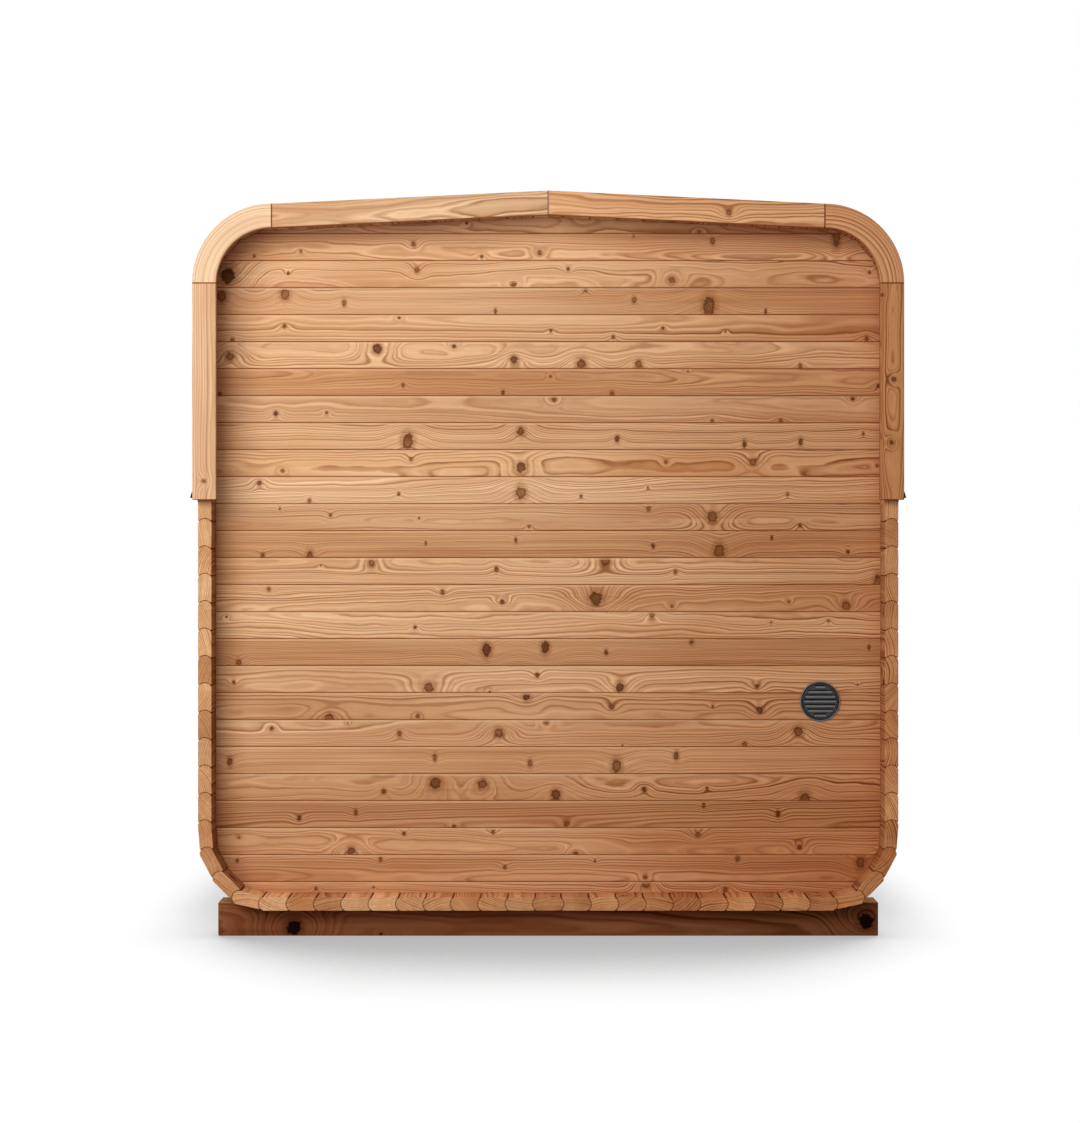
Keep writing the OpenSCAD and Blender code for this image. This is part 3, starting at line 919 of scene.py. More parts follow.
# Boards of both end walls
boardCut = {
    "firstJoint": 0.151,
    "face": 0.079,
    "leastBoard": 0.02,     # a narrower strip at the top joins the board below it
    "halfGap": 0.0003,
    "lowRound": 0.0016,     # edges of a board's face, below and above
    "highRound": 0.0022,
    "lowStain": (0.6, 0.9, 1, 1),           # round those edges, from the face to the joint
    "highStain": (-0.8, -1, -0.4, 0.9),     # the upper one gets a painted highlight before the joint's stain
    "fade": 0.0038,         # the stain beside a joint reaches this far over the face
    "tongue": (0.014, 0.023, 0.007),        # from, to and height
    "groovePlay": (0.0004, 0.0006),         # of the groove round a tongue: each side, and above
    "depthPlay": 0.0004,    # how unevenly the faces sit
    "ventHole": 0.05,
    "seed": 77,
    # the largest knots of the rear wall: place across it, height and radius
    "largeKnots": [(-0.937, 1.925, 0.0185), (-0.77, 1.87, 0.011), (-0.50, 1.71, 0.012), (-0.10, 1.68, 0.009),
                   (0.47, 1.83, 0.015), (-0.93, 1.69, 0.010), (-0.41, 1.44, 0.013), (-0.08, 1.47, 0.009),
                   (-0.08, 1.29, 0.012), (0.60, 1.38, 0.009), (0.48, 1.22, 0.013), (0.50, 1.12, 0.013),
                   (0.14, 0.98, 0.016), (-0.18, 0.83, 0.011), (-0.35, 0.72, 0.013), (0.21, 0.72, 0.011),
                   (-0.64, 0.63, 0.011), (0.20, 0.49, 0.011), (-0.33, 0.44, 0.014), (0.75, 0.39, 0.013)],
}


def halfWidthAt(z):
    line = ringLine(shell["wallInset"])
    return float(np.interp(z, [p[1] for p in line], [p[0] for p in line]))


# Outline of a board as (depth behind its face, height, stain)
def boardOutline(low, high, first, last, levels):
    thick = wallOutY - wallInY
    gap = boardCut["halfGap"]
    t0, t1, rise = boardCut["tongue"]
    bottom = low if first else low + gap
    top = high if last else high - gap
    lowRound, highRound = (0 if first else boardCut["lowRound"]), (0 if last else boardCut["highRound"])
    fade = min(boardCut["fade"], (high - low) / 4)
    out = []

    # one of the four rounded edges, where its arc starts at a heading of 0, 90, 180 or 270 degrees
    def corner(d, z, radius, start):
        if radius == 0:
            out.append((d, z, 0))
            return
        upper = start in (0, 90)
        rim = boardCut["highStain" if upper else "lowStain"]
        if start in (90, 270):
            rim = rim[::-1]
        faceward = (d + radius * (1 if start in (0, 270) else -1), z - fade if upper else z + fade, 0)
        if start in (0, 180):
            out.append(faceward)
        for s in range(4):
            a = math.radians(start + 30 * s)
            out.append((d + radius * math.cos(a), z + radius * math.sin(a), rim[s]))
        if start in (90, 270):
            out.append(faceward)

    # round the board from the inner face's lower edge
    corner(thick - lowRound, bottom + lowRound, lowRound, 270)
    out.extend((thick, z, 0) for z in levels)
    corner(thick - highRound, top - highRound, highRound, 0)
    if not last:
        out.extend([(t1, top, 1), (t1, top + rise, 1), (t0, top + rise, 1), (t0, top, 1)])
    corner(highRound, top - highRound, highRound, 90)
    out.extend((0, z, 0) for z in levels[::-1])
    corner(lowRound, bottom + lowRound, lowRound, 180)
    if not first:
        play, above = boardCut["groovePlay"]
        t0, t1, rise = t0 - play, t1 + play, rise + above
        out.extend([(t0, bottom, 1), (t0, bottom + rise, 1), (t1, bottom + rise, 1), (t1, bottom, 1)])
    return out


# A round hole bored through one board
def bored(points, faces, centre, radius):
    board = addObject("boardToBore", bpy.data.meshes.new("boardToBore"))
    board.data.from_pydata([tuple(p) for p in points], [], faces)
    work = bmesh.new()
    work.from_mesh(board.data)
    bmesh.ops.remove_doubles(work, verts=work.verts, dist=2e-6)
    bmesh.ops.recalc_face_normals(work, faces=work.faces)
    work.to_mesh(board.data)
    work.free()
    borer = addObject("borer", bpy.data.meshes.new("borer"))
    work = bmesh.new()
    # a cylinder, longer than the board is thick
    bmesh.ops.create_cone(work, cap_ends=True, segments=64, radius1=radius, radius2=radius, depth=0.2)
    for vertex in work.verts:
        x, y, z = vertex.co
        vertex.co = (x + centre[0], z + centre[1], -y + centre[2])
    bmesh.ops.recalc_face_normals(work, faces=work.faces)
    work.to_mesh(borer.data)
    work.free()
    cut = board.modifiers.new("bore", "BOOLEAN")
    cut.operation = "DIFFERENCE"
    cut.solver = "EXACT"
    cut.object = borer
    result = board.evaluated_get(bpy.context.evaluated_depsgraph_get()).to_mesh()
    newPoints = [tuple(vertex.co) for vertex in result.vertices]
    newFaces = [list(face.vertices) for face in result.polygons]
    for item in (board, borer):
        bpy.data.objects.remove(item)
    return newPoints, newFaces


# One board; side is -1 at the rear and 1 at the front, left and right give its ends at a height,
# and bottom and top are those of the whole wall
def addBoard(pile, low, high, side, leftEnd, rightEnd, dice, bottom, top, bore=None):
    line = ringLine(shell["wallInset"])
    levels = sorted(p[1] for p in line if low + 0.011 < p[1] < high - 0.011)      # bends of the ends
    play = dice.uniform(-1, 1) * boardCut["depthPlay"]
    outline = [(side * (wallOutY - d - play), z, stain)
               for d, z, stain in boardOutline(low, high, low == bottom, high == top, levels)]
    middle = (low + high) / 2
    x0, x1 = leftEnd(middle), rightEnd(middle)
    axes = ((1, 0, 0), (0, 0, 1), (0, side, 0))
    origin = ((x0 + x1) / 2, side * wallOutY, middle)
    known = boardCut["largeKnots"] if side < 0 else []
    marks = [(x - origin[0], z - middle, radius) for x, z, radius in known if low < z < high]
    wood = cutBoard(dice, wallWood, origin, axes, x1 - x0, high - low, 0, marks)
    rings = [[(end(z), y, z) for y, z, stain in outline] for end in (leftEnd, rightEnd)]
    if bore is None:
        addRings(pile, rings, wood, [[stain for y, z, stain in outline]] * 2)
        return
    size = len(outline)
    faces = [[i, (i + 1) % size, size + (i + 1) % size, size + i] for i in range(size)]
    faces += [list(range(size))[::-1], [size + i for i in range(size)]]
    points, faces = bored(rings[0] + rings[1], faces, *bore)
    # points of the old outline keep their stain
    flat = np.array(outline)
    stains = []
    for x, y, z in points:
        gaps = np.hypot(flat[:, 0] - y, flat[:, 1] - z)
        best = int(gaps.argmin())
        stains.append(outline[best][2] if gaps[best] < 1e-4 else 0)
    addSolid(pile, points, faces, wood, stains)


ventLow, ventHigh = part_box("vent_grille")
ventCentre = ((ventLow.x + ventHigh.x) / 2, -wallOutY, (ventLow.z + ventHigh.z) / 2)


def boardLevels(low, high):
    joint = boardCut["firstJoint"]
    levels = [low]
    while joint < high - boardCut["leastBoard"]:
        if joint > low + 0.005:
            levels.append(joint)
        joint += boardCut["face"]
    return levels + [high]


def makeWalls():
    dice = random.Random(boardCut["seed"])
    outline = ringLine(shell["wallInset"])
    bottom, top = outline[0][1], outline[-1][1]
    leftOut, rightOut = (lambda z: -halfWidthAt(z)), halfWidthAt
    hole = boardCut["ventHole"]
    pile = startPile()
    levels = boardLevels(bottom, top)
    for low, high in zip(levels, levels[1:]):
        cuts = low - 0.01 < ventCentre[2] + hole and high + 0.01 > ventCentre[2] - hole
        bore = (ventCentre, hole) if cuts else None
        addBoard(pile, low, high, -1, leftOut, rightOut, dice, bottom, top, bore)
    finishPiece(pile, wallWood, "rear_wall", name="rearWallBoards")

    doorLow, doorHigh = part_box("front_wall_below_door")[1].z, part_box("front_wall_above_door")[0].z
    doorHalf = -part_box("front_wall_left")[1].x
    parts = {
        "front_wall_below_door": (bottom, doorLow, leftOut, rightOut),
        "front_wall_left": (doorLow, doorHigh, leftOut, lambda z: -doorHalf),
        "front_wall_right": (doorLow, doorHigh, lambda z: doorHalf, rightOut),
        "front_wall_above_door": (doorHigh, top, leftOut, rightOut),
    }
    for node, (low, high, leftEnd, rightEnd) in parts.items():
        pile = startPile()
        levels = boardLevels(low, high)
        for z0, z1 in zip(levels, levels[1:]):
            addBoard(pile, z0, z1, 1, leftEnd, rightEnd, dice, bottom, top)
        finishPiece(pile, wallWood, node)


makeWalls()
print("end wall boards done")

# Cross beams under the shell
cradleCut = {
    "bevel": 0.0025,
    "faceDepth": 0.05,
    "endRound": 0.003,
    "topRound": 0.001,
    "seed": 5,
    # black knots: place along the beam, height above its middle, radius
    "rear_cradle": [(-0.74, -0.026, 0.019), (0.925, -0.006, 0.019)],
    "front_cradle": [(0.31, 0.01, 0.016), (-0.86, -0.02, 0.014)],
}


def makeCradles():
    foot = cornerAt(bends[0], -half)[0]
    rise = math.tan(math.radians(shell["lowerCorner"][0]))
    endRound, topRound = cradleCut["endRound"], cradleCut["topRound"]
    for index, (node, front) in enumerate((("rear_cradle", -1), ("front_cradle", 1))):
        low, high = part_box(node)
        seat = staveLow.z
        corners = [(high.x, 0, endRound), (high.x, high.z, endRound),
                   (foot + (high.z - seat) / rise, high.z, topRound), (foot, seat, 0)]
        corners += [(-x, z, r) for x, z, r in corners[::-1]]
        dice = random.Random(cradleCut["seed"] + index)
        centre = (0, (low.y + high.y) / 2, high.z / 2)
        axes = ((1, 0, 0), (0, 0, 1), (0, front, 0))
        wood = cutBoard(dice, cradleWood, centre, axes, high.x - low.x, high.z, cradleCut["faceDepth"],
                        cradleCut[node])
        pile = startPile()
        addExtrusion(pile, rounded(corners), low.y, high.y, cradleCut["bevel"], alongY, wood)
        finishPiece(pile, cradleWood, node)


makeCradles()
print("cradles done")

# Trim on the ends of the staves
trimCut = {
    "edgeRound": 0.0022,
    "backRound": 0.0008,
    "endBevel": 0.0005,
    "endStain": 0.0024,     # how far the stain of a joint reaches along the face
    "sideStain": 0.75,      # painted shade on the side towards the wall
    "cornerSteps": 28,
    "seed": 23,
}


# Section of a trim board as (in from its outer edge, out from the stave ends), less all round for a rim
def trimSection(width, thick, less=0.0):
    front, back = max(trimCut["edgeRound"] - less, 0.0005), trimCut["backRound"]
    return rounded([(less, 0, back), (width - less, 0, back), (width - less, thick - less, front),
                    (less, thick - less, front)])


# Sweeps the section through stations of (outer edge, direction across, run direction, width)
def addTrim(pile, stations, side, wood, thick):
    bevel, reach = trimCut["endBevel"], trimCut["endStain"]
    # (inset, step along, stain) towards the middle of the piece
    end = [(bevel, 0, 1), (bevel * 0.3, bevel * 0.3, 1), (0, bevel, 1), (0, reach * 0.6, 0.8), (0, reach, 0)]
    rows = [(stations[0], less, step, stain) for less, step, stain in end]
    rows += [(station, 0, 0, 0) for station in stations[1:-1]]
    rows += [(stations[-1], less, -step, stain) for less, step, stain in end[::-1]]
    rings, creases = [], []
    for (edge, across, run, width), less, step, stain in rows:
        edge, across, run = np.array(edge), np.array(across), np.array(run)
        ring, crease = [], []
        for a, b in trimSection(width, thick, less):
            x, z = edge + across * a + run * step
            ring.append((x, side * (endY + b), z))
            shaded = a > width * 0.9 and b < thick - trimCut["edgeRound"]
            crease.append(max(stain, trimCut["sideStain"] if shaded else 0))
        rings.append(ring)
        creases.append(crease)
    addRings(pile, rings, wood, creases)


def makeTrim(node, side, finish, stations, centre, axes, length, width, thick, dice, bend=None):
    wood = cutBoard(dice, finish, (centre[0], side * endY, centre[1]), axes, length, width, thick)
    if bend:
        wood["knots"], wood["bend"] = [], bend
    pile = startPile()
    addTrim(pile, stations, side, wood, thick)
    finishPiece(pile, finish, node)


# Post, corner and top on the left (hand -1) or right (1) of the rear (side -1) or front (1)
def makeTrimSet(where, side, hand, dice):
    start = where + ("_left_" if hand < 0 else "_right_")
    reddened = side < 0 < hand      # the rear's right-hand side is darker and redder, partly its own colour and partly painted shade
    low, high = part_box(start + "post_trim")
    thick, width = high.y - low.y, high.x - low.x
    outer = high.x if hand > 0 else low.x
    run = (0.0, 1.0)
    stations = [((outer, z), (-hand, 0.0), run, width) for z in (low.z, high.z)]
    centre = (outer - hand * width / 2, (low.z + high.z) / 2)
    axes = ((0, 0, 1), (hand, 0, 0), (0, side, 0))
    makeTrim(start + "post_trim", side, redTrimWood if reddened else trimWood, stations, centre, axes,
             high.z - low.z, width, thick, dice)

    low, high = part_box(start + "corner_trim")
    radius = high.x - low.x
    centre = np.array([low.x if hand > 0 else high.x, low.z])
    stations = []
    for step in range(trimCut["cornerSteps"] + 1):
        a = math.pi / 2 * step / trimCut["cornerSteps"]
        out = np.array([hand * math.cos(a), math.sin(a)])
        run = np.array([-hand * math.sin(a), math.cos(a)])
        stations.append((centre + radius * out, -out, run, width))
    diagonal = math.sqrt(0.5)
    axes = ((-hand * diagonal, 0, diagonal), (hand * diagonal, 0, diagonal), (0, side, 0))
    middle = centre + np.array([hand, 1]) * diagonal * (radius - width / 2)
    makeTrim(start + "corner_trim", side, amberCornerWood if reddened else cornerWood, stations, middle, axes,
             radius, width, thick, dice, bend=(centre[0], centre[1], radius - width / 2, side))

    low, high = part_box(start + "top_trim")
    inner, outer = (low.x, high.x) if hand > 0 else (high.x, low.x)
    upright = width * math.sqrt(1 + slope * slope)
    drop = abs(outer - inner) * slope
    ends = ((outer, high.z - drop), (inner, high.z))
    stations = [(end, (0.0, -1.0), (-hand, 0.0), upright) for end in ends]
    centre = ((inner + outer) / 2, high.z - drop / 2 - width / 2)
    axes = ((hand, 0, -slope), (hand * slope, 0, 1), (0, side, 0))
    makeTrim(start + "top_trim", side, amberTrimWood if reddened else topTrimWood, stations, centre, axes,
             abs(outer - inner), width, thick, dice)


def makeTrims():
    dice = random.Random(trimCut["seed"])
    for where, side in (("rear", -1), ("front", 1)):
        for hand in (-1, 1):
            makeTrimSet(where, side, hand, dice)


makeTrims()
print("trim done")

# Lapped shingles from the drip edge over the corner to the ridge
roofCut = {
    "exposure": 0.145,
    "headLap": 0.05,
    "thick": 0.0021,
    "butt": 0.0023,         # the lower edge lies on the course below
    "soft": 0.0007,         # worn upper edges of a tab's sides
    "droop": 0.0012,        # how unevenly the tabs hang
    "tab": 0.3,
    "slot": 0.006,
    "skin": 0.0213,         # the deck's outside, from the middle line
    "underlay": 0.0015,
    "underlayIn": 0.001,    # its edges lie this far inside the tabs'
    "underlaySink": 0.00003,
    "leastCourse": 0.03,
    "endMargin": 0.0004,
    "capWidth": 0.14,
    "capLap": 0.03,
    "capLift": (0.0046, 0.0023),    # of the two ends of a ridge cap
    "capThick": 0.002,
    "shade": (0.78, 1.12),
    "underlayShade": 0.62,
    "buttStain": 0.6,
    "seed": 61,
}


# The line of the deck from the foot of the cover to the ridge, lifted off it
def deckLine(lift):
    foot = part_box("right_roof_cover")[0].z
    start = np.array([joints[roofFirst - len(shell["upperCorner"])][0] + lift, foot])
    upper = [k for k in bends if k >= roofFirst - len(shell["upperCorner"])]
    top = np.array([shell["gap"] / 2, roofMid(shell["gap"] / 2) + lift * math.sqrt(1 + slope * slope)])
    return [start] + [cornerAt(k, -lift) for k in upper] + [top]


def feltShade(level):
    return dict(plain, tone=(level, 0.005, 0))


def addTab(pile, at, stops, y0, y1, sign, lapped, dice):
    droop = dice.uniform(-roofCut["droop"], roofCut["droop"])
    low, high = stops[0], stops[-1]
    soft = roofCut["soft"]
    rings = []
    for s in stops:
        bottom = roofCut["butt"] * (1 - (s - low) / (high - low)) if lapped else 0
        run = s + (droop if s == low and lapped else 0)
        under, over = at(run, bottom), at(run, bottom + roofCut["thick"])
        spots = ((under, y0), (under, y1), (over, y1 - soft), (over, y0 + soft))
        rings.append([(sign * x, y, z) for (x, z), y in spots])
    butt = roofCut["buttStain"]
    stain = [[1, 1, butt, butt]] + [[1, 1, 0, 0]] * (len(rings) - 1)
    addRings(pile, rings, feltShade(dice.uniform(*roofCut["shade"])), stain)


# Caps along the ridge, each lying on the one before it
def addCaps(pile, at, total, sign, lastY):
    exposure, thick, side = roofCut["exposure"], roofCut["capThick"], total - roofCut["capWidth"]
    first, second = roofCut["capLift"]
    for i in range(int(math.ceil(2 * endY / exposure))):
        y0 = -endY + roofCut["endMargin"] + i * exposure
        y1 = min(y0 + exposure + roofCut["capLap"], lastY)
        rings = []
        for y, lift in ((y0, first), (y1, second if i else first)):
            spots = (at(total, lift), at(side, lift), at(side, lift + thick), at(total, lift + thick))
            rings.append([(sign * x, y, z) for x, z in spots])
        addRings(pile, rings, feltShade(0.8 + 0.3 * ((i * 37) % 10) / 10), [[1, 1, 0.5, 0]] * 2)


def makeRoof():
    base = deckLine(roofCut["skin"])
    lengths = [0]
    for a, b in zip(base, base[1:]):
        lengths.append(lengths[-1] + float(np.linalg.norm(b - a)))
    total = lengths[-1]

    # a point of the roof, from its run up the deck and its lift off it
    def at(run, lift):
        line = deckLine(roofCut["skin"] + lift)
        return [float(np.interp(run, lengths, [p[axis] for p in line])) for axis in (0, 1)]

    dice = random.Random(roofCut["seed"])
    exposure, tab, gap = roofCut["exposure"], roofCut["tab"], roofCut["slot"] / 2
    firstY, lastY = -endY + roofCut["endMargin"], endY - roofCut["endMargin"]
    for hand, sign in (("left", -1), ("right", 1)):
        pile = startPile()
        # felt underlay, seen through the slots between the tabs
        rings = []
        setIn = roofCut["underlayIn"]
        edgeY = endY - setIn
        for run in sorted({setIn, total - setIn, *lengths[1:-1]}):
            under, over = at(run, -roofCut["underlay"]), at(run, -roofCut["underlaySink"])
            spots = ((under, -edgeY), (under, edgeY), (over, edgeY), (over, -edgeY))
            rings.append([(sign * x, y, z) for (x, z), y in spots])
        addRings(pile, rings, feltShade(roofCut["underlayShade"]))
        for course in range(int(math.ceil(total / exposure))):
            low = course * exposure
            high = min(low + exposure + roofCut["headLap"], total)
            if high - low < roofCut["leastCourse"]:
                continue
            stops = [low] + [s for s in lengths if low + 0.002 < s < high - 0.002] + [high]
            y, edge = firstY, firstY + tab - (course % 2) * tab / 2
            while y < lastY:
                past = min(edge, lastY)
                y0 = y + (gap if y > firstY else 0)
                y1 = past - (gap if past < lastY else 0)
                if y1 - y0 > 0.01:
                    addTab(pile, at, stops, y0, y1, sign, course > 0, dice)
                y, edge = past, past + tab
        addCaps(pile, at, total, sign, lastY)
        finishPiece(pile, shingleFelt, hand + "_roof_cover", sharp=30)


makeRoof()
print("roof cover done")

# Bent drip edges below the cover, with the end of the underlay under them
dripCut = {
    "sheet": 0.0014,
    "fold": 0.028,
    "foldRound": 0.001,
    "flange": 0.07,
    "lipTop": (0.018, 0.024),
    "lipRound": 0.0022,
    "lipFoot": (0.023, 0.006),
    "edgeRound": 0.0003,
    "tail": 0.006,
    "felt": (0.0002, 0.0011),
    "screwPitch": 0.3,
    "screwHeight": 0.045,
    "screwHead": (0.0045, 0.0014),      # radius and height
}


def makeDrips():
    sheet, fold, foldRound, edgeRound = (dripCut[key] for key in ("sheet", "fold", "foldRound", "edgeRound"))
    (topX, topZ), (footX, footZ), (feltIn, feltOut) = dripCut["lipTop"], dripCut["lipFoot"], dripCut["felt"]
    flange = dripCut["flange"]
    for hand, sign in (("left", -1), ("right", 1)):
        low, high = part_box(hand + "_drip_edge")
        wallX = abs(high.x if sign < 0 else low.x)
        foot = high.z - flange
        corners = [(0, fold - sheet, 0), (topX - sheet, topZ - sheet, foldRound),
                   (footX - sheet, footZ, edgeRound), (footX, footZ, edgeRound),
                   (topX, topZ, dripCut["lipRound"]), (sheet, fold, foldRound),
                   (sheet, high.z - foot, edgeRound), (0, high.z - foot, edgeRound)]

        def place(a, b, run):
            return (sign * (wallX + a), run, foot + b)

        pile = startPile()
        addExtrusion(pile, rounded(corners), low.y, high.y, edgeRound, place, rimSteps=1)
        strip = block(feltIn, feltOut, -dripCut["tail"], fold - sheet - 0.001, edgeRound)
        addExtrusion(pile, strip, low.y, high.y, 0.0002, place, rimSteps=1)
        screws = int((high.y - low.y) / dripCut["screwPitch"])
        for i in range(screws):
            y = low.y + (i + 0.5) * (high.y - low.y) / screws
            addDome(pile, (sign * (wallX + sheet), y, foot + dripCut["screwHeight"]), (sign, 0, 0),
                    *dripCut["screwHead"])
        finishPiece(pile, dripMetal, hand + "_drip_edge")


makeDrips()
print("drip edges done")

# Round louvred vent
ventCut = {
    "slats": 7,
    "pitch": 0.0138,
    "slatRadius": 0.0488,
    "slatSeat": 0.0012,
    "slatEdges": (0.0005, 0.0095, 0.0105),      # drops of the upper and lower edge and of the hood's foot
    "slatMiddle": 0.005,    # the drop that stays in place as the ends of a slat get smaller
    "slatEnd": 0.6,         # share of the height that the ends keep
    "leastSlat": 0.012,
    "topDrop": 0.0012,
    "screenInset": 0.0102,
    "screen": (0.0002, 0.0012),
    "steps": 72,
    # rim, channel and collar: distance in from the outer edge, height off the wall
    "ring": [(0, 0.0), (0, 0.0022), (0.0006, 0.0036), (0.0018, 0.0044), (0.0032, 0.0042), (0.0042, 0.0030),
             (0.0052, 0.0021), (0.0064, 0.0021), (0.0068, 0.0064), (0.0074, 0.0078), (0.0086, 0.0082),
             (0.0096, 0.0076), (0.0100, 0.0060), (0.0100, 0.0)],
    "rubbed": -0.75,        # a painted highlight on the rim where it is proudest
    "rubbedHeight": (0.0035, 0.005),
    # hooded slat: drop below its top edge, height off the wall
    "slat": [(-0.0006, 0.0016), (0.0000, 0.0030), (0.0016, 0.0062), (0.0040, 0.0092), (0.0066, 0.0108),
             (0.0090, 0.0112), (0.0101, 0.0104), (0.0100, 0.0094), (0.0086, 0.0096), (0.0062, 0.0090),
             (0.0040, 0.0074), (0.0020, 0.0048), (0.0010, 0.0016)],
    # along a slat: place, and how full the hood is there
    "slatRun": [(-1, 0.3), (-0.985, 0.75), (-0.955, 1), (0.955, 1), (0.985, 0.75), (1, 0.3)],
    "slatLip": -0.55,       # a painted highlight on the lips of the hoods too
    "lipHeight": (0.008, 0.0111),
    "lipDrop": 0.007,
}


def makeVent():
    pile = startPile()
    outer = (ventHigh.x - ventLow.x) / 2
    steps, seat, slatRadius = ventCut["steps"], ventCut["slatSeat"], ventCut["slatRadius"]

    def place(a, b, run):
        return (ventCentre[0] + a, ventCentre[1] - run, ventCentre[2] + b)

    rings = [[place((outer - inward) * x, (outer - inward) * y, height) for inward, height in ventCut["ring"]]
             for x, y in circle(steps)]
    least, most = ventCut["rubbedHeight"]
    rubbed = [ventCut["rubbed"] if least < height < most else 0 for inward, height in ventCut["ring"]]
    addRings(pile, rings, creases=[rubbed] * steps, closed=True)
    least, most = ventCut["lipHeight"]
    lips = [ventCut["slatLip"] if least < height < most and drop < ventCut["lipDrop"] else 0
            for drop, height in ventCut["slat"]]
    # insect screen behind the slats
    screen = circle(steps, outer - ventCut["screenInset"])
    addExtrusion(pile, screen, *ventCut["screen"], 0.0001, place, rimSteps=1)
    upperEdge, lowerEdge, hoodFoot = ventCut["slatEdges"]
    middle, endShare = ventCut["slatMiddle"], ventCut["slatEnd"]
    for i in range(ventCut["slats"]):
        top = (ventCut["slats"] / 2 - i) * ventCut["pitch"] - ventCut["topDrop"]
        far = max(abs(top - upperEdge), abs(top - lowerEdge))
        if far > slatRadius:
            far = min(abs(top - upperEdge), abs(top - hoodFoot))
        width = math.sqrt(max(slatRadius ** 2 - far ** 2, ventCut["leastSlat"] ** 2))
        rings = []
        for x, full in ventCut["slatRun"]:
            tall = endShare + (1 - endShare) * full
            rings.append([place(x * width, top - (middle + (drop - middle) * tall),
                                seat + (height - seat) * full) for drop, height in ventCut["slat"]])
        addRings(pile, rings, creases=[lips] * len(rings))
    finishPiece(pile, ventPlastic, "vent_grille", sharp=50)


makeVent()
print("vent done")

# Door in the front wall: its frame and a leaf of upright boards
doorCut = {
    "edgeRound": 0.003,
    "casingRound": 0.002,
    "sillRound": 0.004,
    "postBevel": 0.0015,
    "boardBevel": 0.0008,
    "seam": 0.0004,
    "leafBoards": 8,
    "leafRound": 0.0026,
    "leafBevel": 0.0006,
    "leafGap": 0.0005,
    "tongue": (0.006, 0.004),           # length and half thickness
    "groove": (0.0068, 0.0044),
    "seed": 91,
}
uprightAxes = ((0, 0, 1), (1, 0, 0), (0, 1, 0))
levelAxes = ((1, 0, 0), (0, 0, 1), (0, 1, 0))


def woodFor(dice, finish, low, high, axes):
    size = high - low
    spans = [abs(sum(size[i] * axis[i] for i in range(3))) for axis in axes]
    return cutBoard(dice, finish, tuple((low + high) / 2), axes, spans[0], spans[1], spans[2] / 2)


def makeDoorFrame(dice):
    seam, edgeRound, casingRound = doorCut["seam"], doorCut["edgeRound"], doorCut["casingRound"]
    headLow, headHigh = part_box("door_head")
    sillLow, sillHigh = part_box("door_sill")
    frontY = headHigh.y
    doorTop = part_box("front_wall_above_door")[0].z
    for hand, sign in (("left", -1), ("right", 1)):
        low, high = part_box(hand + "_door_jamb")
        inner, outer = (low.x, high.x) if sign > 0 else (-high.x, -low.x)
        doorHalf = abs(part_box("front_wall_" + hand)[0 if sign > 0 else 1].x)

        def place(a, b, run):
            return (sign * a, b, run)

        # the post between sill and wall above, and the casing beside it
        pile = startPile()
        post = block(inner, doorHalf - seam, low.y, frontY, edgeRound)
        casing = block(doorHalf + seam / 2, outer, wallOutY + seam, frontY, casingRound)
        for outline, z0, z1 in ((post, sillLow.z, doorTop - seam), (casing, low.z, high.z)):
            addExtrusion(pile, outline, z0, z1, doorCut["postBevel"], place,
                         woodFor(dice, trimWood, low, high, uprightAxes))
        finishPiece(pile, trimWood, hand + "_door_jamb")
    # head: the frame's top, and a casing board over it
    pile = startPile()
    top = block(headLow.y, frontY, headLow.z, doorTop - seam / 2, edgeRound)
    casing = block(wallOutY + seam * 0.75, frontY, doorTop + seam, headHigh.z, casingRound)
    for outline, x0, x1 in ((top, sillLow.x, -sillLow.x), (casing, headLow.x, headHigh.x)):
        wood = woodFor(dice, trimWood, headLow, headHigh, levelAxes)
        addExtrusion(pile, outline, x0, x1, doorCut["boardBevel"], alongX, wood)
    finishPiece(pile, trimWood, "door_head")
    pile = startPile()
    outline = block(sillLow.y, sillHigh.y, sillLow.z, sillHigh.z, doorCut["sillRound"])
    wood = woodFor(dice, trimWood, sillLow, sillHigh, levelAxes)
    addExtrusion(pile, outline, sillLow.x, sillHigh.x, doorCut["boardBevel"], alongX, wood)
    finishPiece(pile, trimWood, "door_sill")


def makeDoorLeaf(dice):
    pile = startPile()
    low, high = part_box("door_leaf")
    boards, leafRound = doorCut["leafBoards"], doorCut["leafRound"]
    (tongue, tongueHalf), (groove, grooveHalf) = doorCut["tongue"], doorCut["groove"]
    step = (high.x - low.x) / boards
    mid = (low.y + high.y) / 2
    for i in range(boards):
        x0, x1 = low.x + i * step, low.x + (i + 1) * step
        left = x0 + (doorCut["leafGap"] if i else 0)
        right = x1 - (doorCut["leafGap"] if i < boards - 1 else 0)
        corners = [(left, low.y, leafRound), (right, low.y, leafRound)]
        if i < boards - 1:
            corners += [(right, mid - tongueHalf, 0), (right + tongue, mid - tongueHalf, 0),
                        (right + tongue, mid + tongueHalf, 0), (right, mid + tongueHalf, 0)]
        corners += [(right, high.y, leafRound), (left, high.y, leafRound)]
        if i:
            corners += [(left, mid + grooveHalf, 0), (left + groove, mid + grooveHalf, 0),
                        (left + groove, mid - grooveHalf, 0), (left, mid - grooveHalf, 0)]
        wood = cutBoard(dice, wallWood, ((x0 + x1) / 2, high.y, (low.z + high.z) / 2), uprightAxes,
                        high.z - low.z, step, 0)
        addExtrusion(pile, rounded(corners), low.z, high.z, doorCut["leafBevel"], alongZ, wood, rimSteps=1)
    finishPiece(pile, wallWood, "door_leaf")


